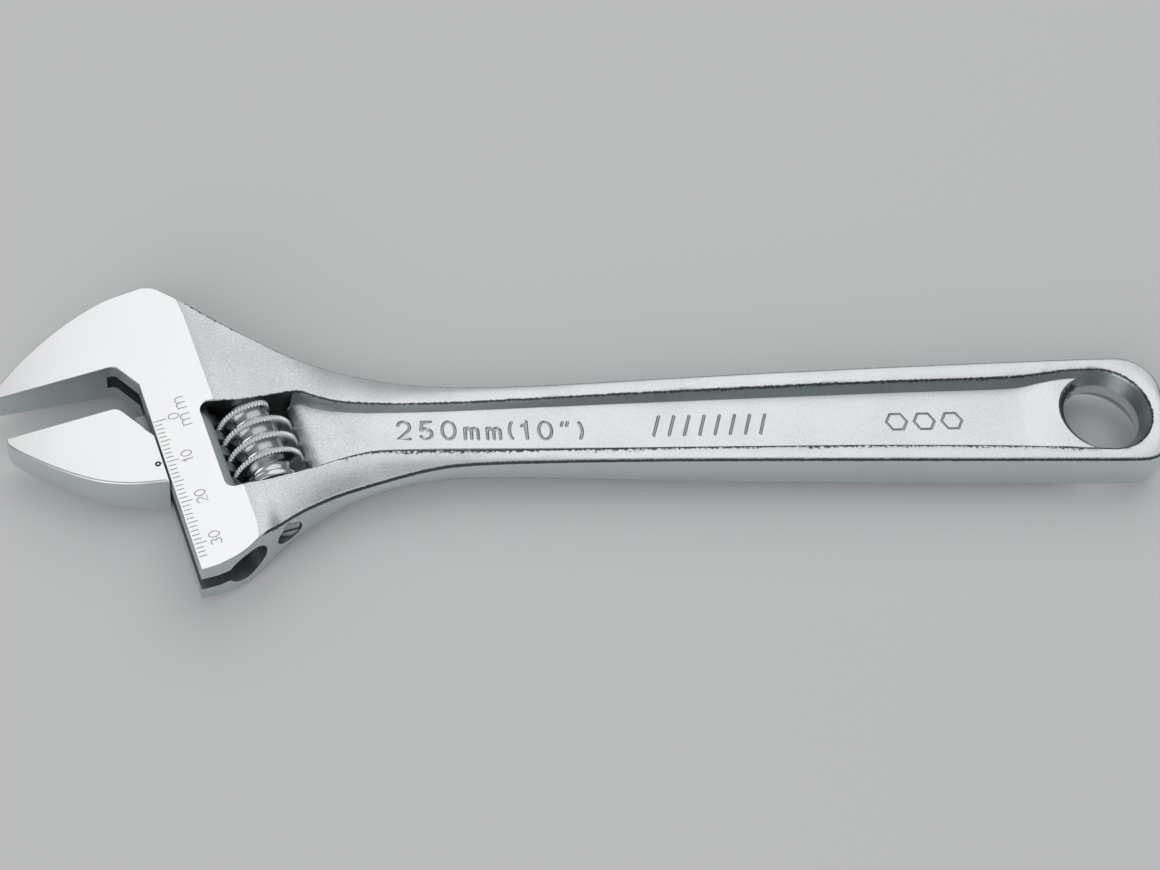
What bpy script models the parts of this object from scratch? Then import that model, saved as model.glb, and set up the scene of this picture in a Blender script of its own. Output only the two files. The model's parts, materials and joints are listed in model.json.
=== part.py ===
"""Adjustable wrench of nominal 250 mm size.

Five real pieces: the forged body with its fixed jaw, the movable jaw with its
rack shank, the adjusting worm, the pin that the worm turns on and the spring
that keeps the worm from rattling.

The body lies flat, with the handle along +X.  Points in the head are given as
(d, e): d runs along the jaw faces towards the handle, measured from the edge
of the jaw slot, and e runs the way the movable jaw opens, measured from the
face of the fixed jaw.
"""

import math

import bmesh
import bpy
from mathutils import Matrix, Vector

MM = 0.001

# Overall shape
JAW_ANGLE = math.radians(15.0)  # lean of the jaws from square to the handle
CORNER_HEIGHT = 15.65 * MM  # fixed jaw face above the handle's centre line, at the slot edge
HOLE_REACH = 207.7 * MM  # slot edge to hanging hole, along the handle
END_REACH = 14.2 * MM  # hanging hole to the end of the handle
END_HALF_WIDTH = 13.5 * MM
NECK_HALF_WIDTH = 9.6 * MM
NECK_REACH = 72.0 * MM  # slot edge to the narrowest place of the handle
HEAD_DEPTH = 51.9 * MM  # fixed jaw face to the foot of the head

# Half thicknesses
SLOT_HALF_THICKNESS = 5.5 * MM
HEAD_TAPER = 0.085  # half thickness gained for each unit of d
POLISHED_WIDTH = 13.2 * MM
NECK_HALF_THICKNESS = 3.0 * MM
END_HALF_THICKNESS = 4.9 * MM
WEB_HALF_THICKNESS = 2.0 * MM

# Jaws
JAW_LENGTH = 28.0 * MM
OPENING = 10.0 * MM  # between the jaw faces as the object stands
JAW_DEPTH = 20.4 * MM  # of the movable jaw at the slot
THROAT_DEPTH = 6.0 * MM
THROAT_WIDTH = 3.3 * MM
THROAT_FLAT = 0.9 * MM  # between the fixed jaw's face and the slope to the slot's edge

# Slide
BORE_RADIUS = 4.5 * MM
BORE_PLACE = 10.0 * MM
BORE_TOP = -6.0 * MM
SLOT_WIDTH = 4.0 * MM
SLOT_TOP = -2.6 * MM
SLOT_REACH = 5.2 * MM
SHANK_ABOVE_FACE = 3.0 * MM
SHANK_BELOW_FACE = 27.0 * MM
SLIDE_GAP = 0.25 * MM

# Worm
WORM_PITCH = 4.0 * MM
WORM_TURNS = 4.2
WORM_RADIUS = 7.8 * MM
WORM_CORE_RADIUS = 4.8 * MM
CORE_GAP = 0.85 * MM  # between the worm's core and the shank
THREAD_CREST = 1.2 * MM
THREAD_ROOT = 2.0 * MM
THREAD_SINK = 0.6 * MM  # how far the ridge reaches into the core
COLLAR_LENGTH = 1.8 * MM
COLLAR_RADIUS = 5.6 * MM
END_GAP = 0.3 * MM
MESH_GAP = 0.25 * MM

# Window for the worm
WINDOW_TOP = 14.75 * MM  # at the worm's axis
WINDOW_TOP_SLOPE = math.radians(9.8)
WINDOW_LEFT = 9.9 * MM
WINDOW_RADIUS = 2.0 * MM
WORM_SIDE_GAP = 1.3 * MM

# Pin and spring
PIN_RADIUS = 2.0 * MM
PIN_HEAD_RADIUS = 2.55 * MM
PIN_TOP_DEPTH = 4.5 * MM
PIN_SINK = 1.6 * MM  # pin's foot below the flank
FLANK_RISE = 5.4 * MM  # foot of the head to the flank under the worm
TURNING_GAP = 0.15 * MM
PIN_GAP = 0.3 * MM
DRIVER_SLOT_WIDTH = 0.8 * MM
DRIVER_SLOT_DEPTH = 0.9 * MM
SPRING_WIRE = 0.5 * MM
SPRING_TURNS = 5
SPRING_POCKET_DEPTH = 5.0 * MM

# Handle recess and hanging hole
RIM_WIDTH = 3.9 * MM
END_RIM_WIDTH = 4.8 * MM
END_RIM_REACH = 15.0 * MM  # hanging hole to where the rims start to close round it
END_RIM_RADIUS = 10.2 * MM
HOLE_RADIUS = 8.55 * MM
END_CORNER_RADIUS = 8.5 * MM
RECESS_LAP = 1.0 * MM  # recess and worm window share this strip

ROUND_SIDES = 32
THREAD_STEPS = 28  # in one turn
COIL_STEPS = 14  # in one turn
OVERSHOOT = 1.0 * MM  # a cutter's reach past the surface that it opens

# Worked out from the sizes above
SHANK_RADIUS = BORE_RADIUS - SLIDE_GAP
WORM_PLACE = BORE_PLACE + SHANK_RADIUS + CORE_GAP + WORM_CORE_RADIUS

ALONG = Vector((math.cos(JAW_ANGLE), math.sin(JAW_ANGLE), 0.0))  # direction of d
OPENS = Vector((math.sin(JAW_ANGLE), -math.cos(JAW_ANGLE), 0.0))  # direction of e
CORNER = Vector((0.0, CORNER_HEIGHT, 0.0))


def clear_scene():
    for obj in list(bpy.data.objects):
        bpy.data.objects.remove(obj)


def collection(name, hidden=False):
    made = bpy.data.collections.new(name)
    bpy.context.scene.collection.children.link(made)
    made.hide_render = hidden
    return made


clear_scene()
WRENCH = collection("adjustable_wrench")
CUTTERS = collection("cutters", hidden=True)


def steel(name, colour, roughness):
    material = bpy.data.materials.new(name)
    material.use_nodes = True
    shader = material.node_tree.nodes["Principled BSDF"]
    shader.inputs["Base Color"].default_value = (*colour, 1.0)
    shader.inputs["Metallic"].default_value = 1.0
    shader.inputs["Roughness"].default_value = roughness
    return material


# ---------------------------------------------------------------- outlines


def head_point(d, e):
    """The point (d, e) of the head, as x and y."""
    place = CORNER + ALONG * d + OPENS * e
    return Vector((place.x, place.y))


def flowing(points, steps=5):
    """Points on a smooth curve through the given ones."""
    points = [Vector(point) for point in points]
    first = points[0] * 2 - points[1]
    last = points[-1] * 2 - points[-2]
    guides = [first, *points, last]
    curve = []
    for a, b, c, d in zip(guides, guides[1:], guides[2:], guides[3:]):
        for step in range(steps):
            t = step / steps
            linear = (c - a) * t
            square = (a * 2 - b * 5 + c * 4 - d) * t**2
            cube = (b * 3 - a - c * 3 + d) * t**3
            curve.append(b + (linear + square + cube) * 0.5)
    curve.append(points[-1])
    return curve


def rounded(before, corner, after, radius, steps=5):
    """Points of an arc that replaces a corner between two straight lines."""
    before, corner, after = Vector(before), Vector(corner), Vector(after)
    to_before = (before - corner).normalized()
    to_after = (after - corner).normalized()
    half = to_before.angle(to_after) / 2
    centre = corner + (to_before + to_after).normalized() * (radius / math.sin(half))
    start = corner + to_before * (radius / math.tan(half)) - centre
    end = corner + to_after * (radius / math.tan(half)) - centre
    turn = start.angle_signed(end)
    arc = []
    for step in range(steps + 1):
        arc.append(centre + start @ Matrix.Rotation(turn * step / steps, 2))
    return arc


def rounded_outline(corners):
    """A closed outline of (point, radius) corners, where radius 0 is sharp."""
    outline = []
    for index, (point, radius) in enumerate(corners):
        if radius == 0:
            outline.append(Vector(point))
            continue
        before = corners[index - 1][0]
        after = corners[(index + 1) % len(corners)][0]
        outline += rounded(before, point, after, radius)
    return outline


# ---------------------------------------------------------------- solids


def new_piece(name, mesh, place=Matrix(), into=WRENCH):
    piece = bpy.data.objects.new(name, mesh)
    piece.matrix_world = place
    into.objects.link(piece)
    return piece


def plate(name, outline, thickness, place=Matrix(), into=CUTTERS):
    """A closed solid of an outline, centred on the outline's plane."""
    curve = bpy.data.curves.new(name, "CURVE")
    curve.dimensions = "2D"
    curve.fill_mode = "BOTH"
    curve.extrude = thickness / 2
    spline = curve.splines.new("POLY")
    spline.points.add(len(outline) - 1)
    for point, corner in zip(spline.points, outline):
        point.co = (corner[0], corner[1], 0.0, 1.0)
    spline.use_cyclic_u = True
    guide = new_piece(name + "_outline", curve, place, CUTTERS)
    bpy.context.view_layer.update()
    graph = bpy.context.evaluated_depsgraph_get()
    mesh = bpy.data.meshes.new_from_object(guide.evaluated_get(graph))
    bpy.data.objects.remove(guide)
    welded = bmesh.new()
    welded.from_mesh(mesh)
    bmesh.ops.remove_doubles(welded, verts=welded.verts, dist=0.001 * MM)
    bmesh.ops.recalc_face_normals(welded, faces=welded.faces)
    welded.to_mesh(mesh)
    welded.free()
    mesh.name = name
    return hidden_if_cutter(new_piece(name, mesh, place, into))


def hidden_if_cutter(piece):
    if piece.name in CUTTERS.objects:
        piece.hide_render = True
        piece.display_type = "WIRE"
    return piece


def axis_frame(d, e):
    """A place in the head whose Z runs along the slide, X along d and Y up."""
    columns = Matrix((ALONG, Vector((0.0, 0.0, 1.0)), OPENS)).transposed()
    return Matrix.Translation(CORNER + ALONG * d + OPENS * e) @ columns.to_4x4()


def round_bar(name, radius, d, start, end, into=CUTTERS):
    """A cylinder along the slide direction, from e = start to e = end."""
    mesh = bpy.data.meshes.new(name)
    bar = bmesh.new()
    bmesh.ops.create_cone(
        bar,
        cap_ends=True,
        segments=ROUND_SIDES,
        radius1=radius,
        radius2=radius,
        depth=end - start,
    )
    bar.to_mesh(mesh)
    bar.free()
    mesh.shade_smooth()
    mesh.set_sharp_from_angle(angle=math.radians(30))
    return hidden_if_cutter(new_piece(name, mesh, axis_frame(d, (start + end) / 2), into))


def combine(piece, other, operation):
    boolean = piece.modifiers.new(other.name, "BOOLEAN")
    boolean.operation = operation
    boolean.object = other
    boolean.solver = "EXACT"


def cut(piece, other):
    combine(piece, other, "DIFFERENCE")


def join(piece, other):
    combine(piece, other, "UNION")


def keep_common(piece, other):
    combine(piece, other, "INTERSECT")


def thickness_block(name, stations):
    """A solid as wide as the head, whose half thickness is given at stations of d."""
    upper = list(stations)
    lower = [(d, -half) for d, half in reversed(stations)]
    span = 4 * HEAD_DEPTH
    return plate(name, upper + lower, span, axis_frame(0.0, HEAD_DEPTH / 2))


def head_half_thickness(d):
    return SLOT_HALF_THICKNESS + HEAD_TAPER * d


# ---------------------------------------------------------------- body

HANDLE_END = HOLE_REACH + END_REACH
HANDLE_FLARE = (END_HALF_WIDTH - NECK_HALF_WIDTH) / (HOLE_REACH - NECK_REACH)
FACE_END = -THROAT_WIDTH - THROAT_FLAT

back_of_jaw = [
    head_point(d * MM, e * MM)
    for d, e in ((-27.6, -2.2), (-20.2, -7.9), (-11.4, -13.0), (-2.2, -16.5), (6.6, -17.5))
]
upper_shoulder = flowing(
    [
        head_point(9.9 * MM, -15.9 * MM),
        (18.2 * MM, 24.9 * MM),
        (30.3 * MM, 18.1 * MM),
        (42.5 * MM, 14.1 * MM),
        (54.7 * MM, 11.4 * MM),
        (NECK_REACH, NECK_HALF_WIDTH),
    ]
)
handle_end = rounded_outline(
    [
        ((NECK_REACH, NECK_HALF_WIDTH), 0),
        ((HANDLE_END, NECK_HALF_WIDTH + HANDLE_FLARE * (HANDLE_END - NECK_REACH)), END_CORNER_RADIUS),
        ((HANDLE_END, -NECK_HALF_WIDTH - HANDLE_FLARE * (HANDLE_END - NECK_REACH)), END_CORNER_RADIUS),
        ((NECK_REACH, -NECK_HALF_WIDTH), 0),
    ]
)
lower_shoulder = flowing(
    [
        (NECK_REACH, -NECK_HALF_WIDTH),
        (57.7 * MM, -11.0 * MM),
        (45.2 * MM, -14.7 * MM),
        head_point(24.8 * MM, HEAD_DEPTH - 8.4 * MM),
        head_point(16.1 * MM, HEAD_DEPTH - 4.9 * MM),
        head_point(12.6 * MM, HEAD_DEPTH - 2.9 * MM),
        head_point(9.6 * MM, HEAD_DEPTH - 1.1 * MM),
        head_point(5.5 * MM, HEAD_DEPTH - 0.1 * MM),
        head_point(0.0, HEAD_DEPTH),
    ]
)
throat = [
    head_point(0.0, THROAT_DEPTH),
    head_point(-THROAT_WIDTH, 0.4 * MM),
    head_point(FACE_END, 0.0),
    head_point(-JAW_LENGTH, 0.0),
]

body_outline = flowing(back_of_jaw) + upper_shoulder + handle_end[1:-1] + lower_shoulder + throat
body = plate("body", body_outline, 4 * head_half_thickness(POLISHED_WIDTH), into=WRENCH)

HANDLE_D = HANDLE_END / math.cos(JAW_ANGLE)
body_thickness = thickness_block(
    "body_thickness",
    [
        (-JAW_LENGTH - 5 * MM, head_half_thickness(-JAW_LENGTH - 5 * MM)),
        (POLISHED_WIDTH, head_half_thickness(POLISHED_WIDTH)),
        (24.0 * MM, 5.6 * MM),
        (34.0 * MM, 4.1 * MM),
        (44.0 * MM, NECK_HALF_THICKNESS),
        (62.0 * MM, NECK_HALF_THICKNESS),
        (140.0 * MM, 4.65 * MM),
        (HANDLE_D + 10 * MM, END_HALF_THICKNESS),
    ],
)
keep_common(body, body_thickness)

# Slot and bore that the movable jaw slides in
slot_outline = [
    head_point(-SLOT_REACH, SLOT_TOP),
    head_point(BORE_PLACE, SLOT_TOP),
    head_point(BORE_PLACE, 2 * HEAD_DEPTH),
    head_point(-SLOT_REACH, 2 * HEAD_DEPTH),
]
cut(body, plate("jaw_slot", slot_outline, SLOT_WIDTH))
cut(body, round_bar("slide_bore", BORE_RADIUS, BORE_PLACE, BORE_TOP, 2 * HEAD_DEPTH))

# Window for the worm, cut right through
THREAD_LENGTH = WORM_PITCH * WORM_TURNS
WINDOW_RIGHT = WORM_PLACE + WORM_RADIUS + WORM_SIDE_GAP
top_slope = math.tan(WINDOW_TOP_SLOPE)
THREAD_TOP = WINDOW_TOP + top_slope * WORM_RADIUS + END_GAP
WORM_END = THREAD_TOP + THREAD_LENGTH + COLLAR_LENGTH
WINDOW_FOOT = WORM_END + END_GAP


def window_top(d):
    return WINDOW_TOP + top_slope * (d - WORM_PLACE)


window_outline = rounded_outline(
    [
        (head_point(WINDOW_LEFT, window_top(WINDOW_LEFT)), WINDOW_RADIUS),
        (head_point(WINDOW_RIGHT, window_top(WINDOW_RIGHT)), 0),
        (head_point(WINDOW_RIGHT, WINDOW_FOOT), 0),
        (head_point(WINDOW_LEFT, WINDOW_FOOT), WINDOW_RADIUS),
    ]
)
cut(body, plate("worm_window", window_outline, 6 * SLOT_HALF_THICKNESS))

# Hole for the worm's pin, blind above the window and open at the flank below it
PIN_TOP = window_top(WORM_PLACE) - PIN_TOP_DEPTH
PIN_FOOT = HEAD_DEPTH - FLANK_RISE - PIN_SINK
cut(body, round_bar("pin_seat", PIN_RADIUS + PIN_GAP, WORM_PLACE, PIN_TOP - PIN_GAP, WINDOW_FOOT))
cut(
    body,
    round_bar(
        "pin_hole",
        PIN_HEAD_RADIUS + PIN_GAP,
        WORM_PLACE,
        WINDOW_FOOT - END_GAP,
        2 * HEAD_DEPTH,
    ),
)

# Recess in each face of the handle, ending in a round rim about the hanging hole
RECESS_D = WINDOW_RIGHT - RECESS_LAP
RECESS_NECK = NECK_HALF_WIDTH - RIM_WIDTH
RECESS_END = END_HALF_WIDTH - END_RIM_WIDTH
RIM_START = HOLE_REACH - END_RIM_REACH
recess_upper = flowing(
    [
        head_point(RECESS_D, window_top(RECESS_D)),
        (42.3 * MM, RECESS_NECK + 1.2 * MM),
        (50.5 * MM, RECESS_NECK),
        (NECK_REACH, RECESS_NECK + 0.1 * MM),
        (RIM_START, RECESS_END),
    ]
)
recess_end = []
for degrees in range(105, -106, -15):
    turn = math.radians(degrees)
    recess_end.append(
        (HOLE_REACH + END_RIM_RADIUS * math.cos(turn), END_RIM_RADIUS * math.sin(turn))
    )
recess_lower = flowing(
    [
        (RIM_START, -RECESS_END),
        (NECK_REACH, -RECESS_NECK - 0.1 * MM),
        (50.5 * MM, -RECESS_NECK - 0.8 * MM),
        (42.3 * MM, -RECESS_NECK - 2.2 * MM),
        head_point(RECESS_D, WINDOW_FOOT),
    ]
)
recess_outline = recess_upper + recess_end + recess_lower
RECESS_HEIGHT = 2 * END_HALF_THICKNESS
for side, sign in (("front", 1), ("back", -1)):
    lift = Matrix.Translation((0.0, 0.0, sign * (WEB_HALF_THICKNESS + RECESS_HEIGHT / 2)))
    cut(body, plate("recess_" + side, recess_outline, RECESS_HEIGHT, lift))

hole_mesh = bpy.data.meshes.new("hanging_hole")
hole = bmesh.new()
bmesh.ops.create_cone(
    hole,
    cap_ends=True,
    segments=2 * ROUND_SIDES,
    radius1=HOLE_RADIUS,
    radius2=HOLE_RADIUS,
    depth=6 * END_HALF_THICKNESS,
)
hole.to_mesh(hole_mesh)
hole.free()
hole_place = Matrix.Translation((HOLE_REACH, 0.0, 0.0))
cut(body, hidden_if_cutter(new_piece("hanging_hole", hole_mesh, hole_place, CUTTERS)))

# ---------------------------------------------------------------- movable jaw

NOSE_EDGE = -SLIDE_GAP
nose_top = [
    head_point(NOSE_EDGE, OPENING + 9.0 * MM),
    head_point(-2.1 * MM, OPENING + 4.9 * MM),
    *rounded(
        head_point(-2.1 * MM, OPENING + 4.9 * MM),
        head_point(-5.6 * MM, OPENING),
        head_point(-JAW_LENGTH, OPENING),
        2.2 * MM,
    ),
    head_point(-JAW_LENGTH, OPENING),
]
nose_foot = flowing(
    [
        head_point(-JAW_LENGTH, OPENING + 1.5 * MM),
        head_point(-22.6 * MM, OPENING + 8.2 * MM),
        head_point(-14.6 * MM, OPENING + 15.0 * MM),
        head_point(-7.0 * MM, OPENING + JAW_DEPTH - 1.7 * MM),
        head_point(NOSE_EDGE, OPENING + JAW_DEPTH),
    ]
)
jaw = plate("movable_jaw", nose_top + nose_foot, 4 * SLOT_HALF_THICKNESS, into=WRENCH)
keep_common(
    jaw,
    thickness_block(
        "jaw_thickness",
        [
            (-JAW_LENGTH - 5 * MM, head_half_thickness(-JAW_LENGTH - 5 * MM)),
            (0.0, head_half_thickness(0.0)),
        ],
    ),
)
WEB_TOP = OPENING + 1.2 * MM
WEB_FOOT = OPENING + JAW_DEPTH - 1.0 * MM
WEB_ROOT = NOSE_EDGE - 3.5 * MM  # inside the nose
web_outline = [
    head_point(WEB_ROOT, WEB_TOP + 3.2 * MM),
    head_point(NOSE_EDGE - 1.8 * MM, WEB_TOP),
    head_point(BORE_PLACE, WEB_TOP),
    head_point(BORE_PLACE, WEB_FOOT),
    head_point(WEB_ROOT, WEB_FOOT - 2.0 * MM),
]
join(jaw, plate("jaw_web", web_outline, SLOT_WIDTH - 2 * SLIDE_GAP))
SHANK_TOP = OPENING - SHANK_ABOVE_FACE
SHANK_FOOT = OPENING + SHANK_BELOW_FACE
join(jaw, round_bar("jaw_shank", SHANK_RADIUS, BORE_PLACE, SHANK_TOP, SHANK_FOOT))

# Rack teeth: grooves that lean by the worm's helix angle
MESH_RADIUS = (WORM_CORE_RADIUS + CORE_GAP + WORM_RADIUS) / 2
HELIX_ANGLE = math.atan(WORM_PITCH / (2 * math.pi * MESH_RADIUS))
GROOVE_FLOOR = WORM_PLACE - WORM_RADIUS - MESH_GAP
GROOVE_MOUTH = WORM_PLACE - WORM_CORE_RADIUS
FIRST_MESH = THREAD_TOP + THREAD_ROOT / 2 + WORM_PITCH / 2


def groove_outline(centre):
    floor = THREAD_CREST / 2 + MESH_GAP
    mouth = THREAD_ROOT / 2 + MESH_GAP
    return [
        head_point(GROOVE_FLOOR, centre - floor),
        head_point(GROOVE_MOUTH, centre - mouth),
        head_point(GROOVE_MOUTH, centre + mouth),
        head_point(GROOVE_FLOOR, centre + floor),
    ]


first = math.ceil((SHANK_TOP - WORM_PITCH / 2 - FIRST_MESH) / WORM_PITCH)
last = math.floor((SHANK_FOOT + WORM_PITCH / 2 - FIRST_MESH) / WORM_PITCH)
for number in range(first, last + 1):
    centre = FIRST_MESH + number * WORM_PITCH
    middle = CORNER + ALONG * GROOVE_FLOOR + OPENS * centre
    lean = (
        Matrix.Translation(middle)
        @ Matrix.Rotation(-HELIX_ANGLE, 4, ALONG)
        @ Matrix.Translation(-middle)
    )
    cutter = plate(f"rack_groove_{number - first + 1}", groove_outline(centre), 3 * BORE_RADIUS, lean)
    cut(jaw, cutter)

# ---------------------------------------------------------------- worm

WORM_TOP = window_top(WORM_PLACE) + top_slope * WORM_CORE_RADIUS + END_GAP
worm = round_bar("adjusting_worm", WORM_CORE_RADIUS, WORM_PLACE, WORM_TOP, WORM_END, into=WRENCH)


def worm_thread():
    """One closed helical ridge, swept about the worm's axis from its first profile."""
    ridge = bmesh.new()
    inner = WORM_CORE_RADIUS - THREAD_SINK
    profile = (
        (inner, -THREAD_ROOT / 2),
        (WORM_CORE_RADIUS, -THREAD_ROOT / 2),
        (WORM_RADIUS, -THREAD_CREST / 2),
        (WORM_RADIUS, THREAD_CREST / 2),
        (WORM_CORE_RADIUS, THREAD_ROOT / 2),
        (inner, THREAD_ROOT / 2),
    )
    corners = [ridge.verts.new((radius, 0.0, height)) for radius, height in profile]
    start = ridge.faces.new(corners)
    turns = WORM_TURNS - THREAD_ROOT / WORM_PITCH
    steps = round(turns * THREAD_STEPS)
    end = bmesh.ops.spin(
        ridge,
        geom=[start, *start.edges, *start.verts],
        cent=(0.0, 0.0, 0.0),
        axis=(0.0, 0.0, 1.0),
        dvec=(0.0, 0.0, WORM_PITCH * turns / steps),
        angle=turns * math.tau,
        steps=steps,
        use_duplicate=False,
    )
    bmesh.ops.recalc_face_normals(ridge, faces=ridge.faces)
    mesh = bpy.data.meshes.new("worm_thread")
    ridge.to_mesh(mesh)
    ridge.free()
    place = axis_frame(WORM_PLACE, THREAD_TOP + THREAD_ROOT / 2)
    return hidden_if_cutter(new_piece("worm_thread", mesh, place, CUTTERS))


join(worm, worm_thread())
join(
    worm,
    round_bar("worm_collar", COLLAR_RADIUS, WORM_PLACE, WORM_END - COLLAR_LENGTH, WORM_END),
)
cut(
    worm,
    round_bar(
        "worm_bore",
        PIN_RADIUS + TURNING_GAP,
        WORM_PLACE,
        WORM_TOP - OVERSHOOT,
        WORM_END + OVERSHOOT,
    ),
)
SPRING_RADIUS = PIN_RADIUS + PIN_GAP + SPRING_WIRE / 2
POCKET_FLOOR = WORM_TOP + SPRING_POCKET_DEPTH
cut(
    worm,
    round_bar(
        "spring_pocket",
        SPRING_RADIUS + SPRING_WIRE / 2 + PIN_GAP,
        WORM_PLACE,
        WORM_TOP - OVERSHOOT,
        POCKET_FLOOR,
    ),
)

# ---------------------------------------------------------------- pin and spring

PIN_HEAD_TOP = WORM_END + END_GAP + PIN_GAP
pin = round_bar("worm_pin", PIN_RADIUS, WORM_PLACE, PIN_TOP, (PIN_HEAD_TOP + PIN_FOOT) / 2, into=WRENCH)
join(pin, round_bar("pin_head", PIN_HEAD_RADIUS, WORM_PLACE, PIN_HEAD_TOP, PIN_FOOT))
driver_outline = [
    head_point(WORM_PLACE - 2 * PIN_HEAD_RADIUS, PIN_FOOT - DRIVER_SLOT_DEPTH),
    head_point(WORM_PLACE + 2 * PIN_HEAD_RADIUS, PIN_FOOT - DRIVER_SLOT_DEPTH),
    head_point(WORM_PLACE + 2 * PIN_HEAD_RADIUS, PIN_FOOT + DRIVER_SLOT_DEPTH),
    head_point(WORM_PLACE - 2 * PIN_HEAD_RADIUS, PIN_FOOT + DRIVER_SLOT_DEPTH),
]
cut(pin, plate("driver_slot", driver_outline, DRIVER_SLOT_WIDTH))

SPRING_START = WORM_TOP + SPRING_WIRE
SPRING_LENGTH = SPRING_POCKET_DEPTH - 1.5 * SPRING_WIRE - PIN_GAP
coil = bpy.data.curves.new("worm_spring", "CURVE")
coil.dimensions = "3D"
coil.bevel_depth = SPRING_WIRE / 2
coil.bevel_resolution = 1
coil.use_fill_caps = True
wire = coil.splines.new("POLY")
wire.points.add(SPRING_TURNS * COIL_STEPS)
for step, point in enumerate(wire.points):
    turn = math.tau * step / COIL_STEPS
    height = SPRING_LENGTH * step / (SPRING_TURNS * COIL_STEPS)
    point.co = (SPRING_RADIUS * math.cos(turn), SPRING_RADIUS * math.sin(turn), height, 1.0)
spring = new_piece("worm_spring", coil, axis_frame(WORM_PLACE, SPRING_START - SPRING_WIRE / 4))

# ---------------------------------------------------------------- finish and place

forged_chrome = steel("forged_chrome", (0.80, 0.81, 0.82), 0.35)
polished_chrome = steel("polished_chrome", (0.90, 0.91, 0.92), 0.15)
worm_steel = steel("worm_steel", (0.55, 0.57, 0.58), 0.20)
pin_steel = steel("pin_steel", (0.50, 0.52, 0.53), 0.40)
spring_steel = steel("spring_steel", (0.45, 0.46, 0.47), 0.35)
for piece, material in (
    (body, forged_chrome),
    (jaw, polished_chrome),
    (worm, worm_steel),
    (pin, pin_steel),
    (spring, spring_steel),
):
    piece.data.materials.append(material)


def stand_on_origin(pieces):
    """Hangs the pieces on an empty, so that their box stands centred on the origin."""
    bpy.context.view_layer.update()
    graph = bpy.context.evaluated_depsgraph_get()
    points = []
    for piece in pieces:
        evaluated = piece.evaluated_get(graph)
        points += [evaluated.matrix_world @ vertex.co for vertex in evaluated.to_mesh().vertices]
        evaluated.to_mesh_clear()
    low = Vector(min(point[axis] for point in points) for axis in range(3))
    high = Vector(max(point[axis] for point in points) for axis in range(3))
    frame = bpy.data.objects.new("wrench_frame", None)
    WRENCH.objects.link(frame)
    frame.location = Vector((-(low.x + high.x) / 2, -(low.y + high.y) / 2, -low.z))
    for piece in list(WRENCH.objects) + list(CUTTERS.objects):
        if piece is not frame:
            piece.parent = frame


stand_on_origin((body, jaw, worm, pin, spring))
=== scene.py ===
"""Adjustable wrench, nominal size 250 mm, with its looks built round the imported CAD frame.

Lengths in this file are millimetres until `place` turns them into the frame's metres. Points in the head
are (d, e): d runs along the jaw faces from the slot's edge towards the handle, e runs the way the movable
jaw opens. Points in the handle are (x, y). z is the height over the forging's mid-plane.
"""

import json
import math

import bmesh
import bpy
import numpy as np
from mathutils import Matrix, Vector
from mathutils.geometry import delaunay_2d_cdt


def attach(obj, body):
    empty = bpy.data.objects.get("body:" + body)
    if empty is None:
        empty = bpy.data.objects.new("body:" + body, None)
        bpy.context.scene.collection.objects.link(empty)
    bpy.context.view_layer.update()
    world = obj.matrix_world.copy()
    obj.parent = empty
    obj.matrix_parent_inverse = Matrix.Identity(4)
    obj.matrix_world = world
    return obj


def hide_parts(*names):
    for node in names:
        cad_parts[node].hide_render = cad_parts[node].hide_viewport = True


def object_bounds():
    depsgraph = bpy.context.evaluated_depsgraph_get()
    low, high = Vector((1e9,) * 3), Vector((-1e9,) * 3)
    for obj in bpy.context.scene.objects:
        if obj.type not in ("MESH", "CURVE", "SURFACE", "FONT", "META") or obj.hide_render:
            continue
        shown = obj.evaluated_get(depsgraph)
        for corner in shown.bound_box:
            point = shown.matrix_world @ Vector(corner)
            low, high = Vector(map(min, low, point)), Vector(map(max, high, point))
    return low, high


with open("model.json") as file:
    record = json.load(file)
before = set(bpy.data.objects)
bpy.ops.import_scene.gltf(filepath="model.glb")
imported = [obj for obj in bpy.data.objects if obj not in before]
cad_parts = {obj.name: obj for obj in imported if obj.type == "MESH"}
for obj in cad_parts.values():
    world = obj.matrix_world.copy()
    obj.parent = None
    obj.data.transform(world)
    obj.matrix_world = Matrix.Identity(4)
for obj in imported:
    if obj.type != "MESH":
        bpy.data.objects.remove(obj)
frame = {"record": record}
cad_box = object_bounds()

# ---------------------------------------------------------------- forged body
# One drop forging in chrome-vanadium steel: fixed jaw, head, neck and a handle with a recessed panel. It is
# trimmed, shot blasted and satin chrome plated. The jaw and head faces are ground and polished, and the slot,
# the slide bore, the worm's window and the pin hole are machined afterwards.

MM = 0.001
joints = {joint["name"]: joint for joint in frame["record"]["behaviour"]["joints"]}
mounts = {mount["name"]: mount for mount in frame["record"]["mounts"]}
OPENS = Vector(joints["jaw_slide"]["axis"])
ALONG = Vector((-OPENS.y, OPENS.x, 0.0))
FACE_MOUNT_D = -16.0  # where along the fixed jaw its mount is
CORNER_HEIGHT = 15.65  # jaw face over the handle's centre line, at the slot's edge
ORIGIN = Vector(mounts["fixed_jaw_face"]["pos_m"]) - ALONG * (FACE_MOUNT_D * MM)
ORIGIN.y -= CORNER_HEIGHT * MM


def place(points):
    """Millimetres from the wrench's own origin, as metres in the frame."""
    return np.asarray(points, float) * MM + np.array(ORIGIN)


def head_point(d, e):
    """The (x, y) of a point in the head."""
    return (d * ALONG.x + e * OPENS.x, CORNER_HEIGHT + d * ALONG.y + e * OPENS.y)


def head_d(points):
    return points[:, 0] * ALONG.x + (points[:, 1] - CORNER_HEIGHT) * ALONG.y


def head_e(points):
    return points[:, 0] * OPENS.x + (points[:, 1] - CORNER_HEIGHT) * OPENS.y


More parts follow.
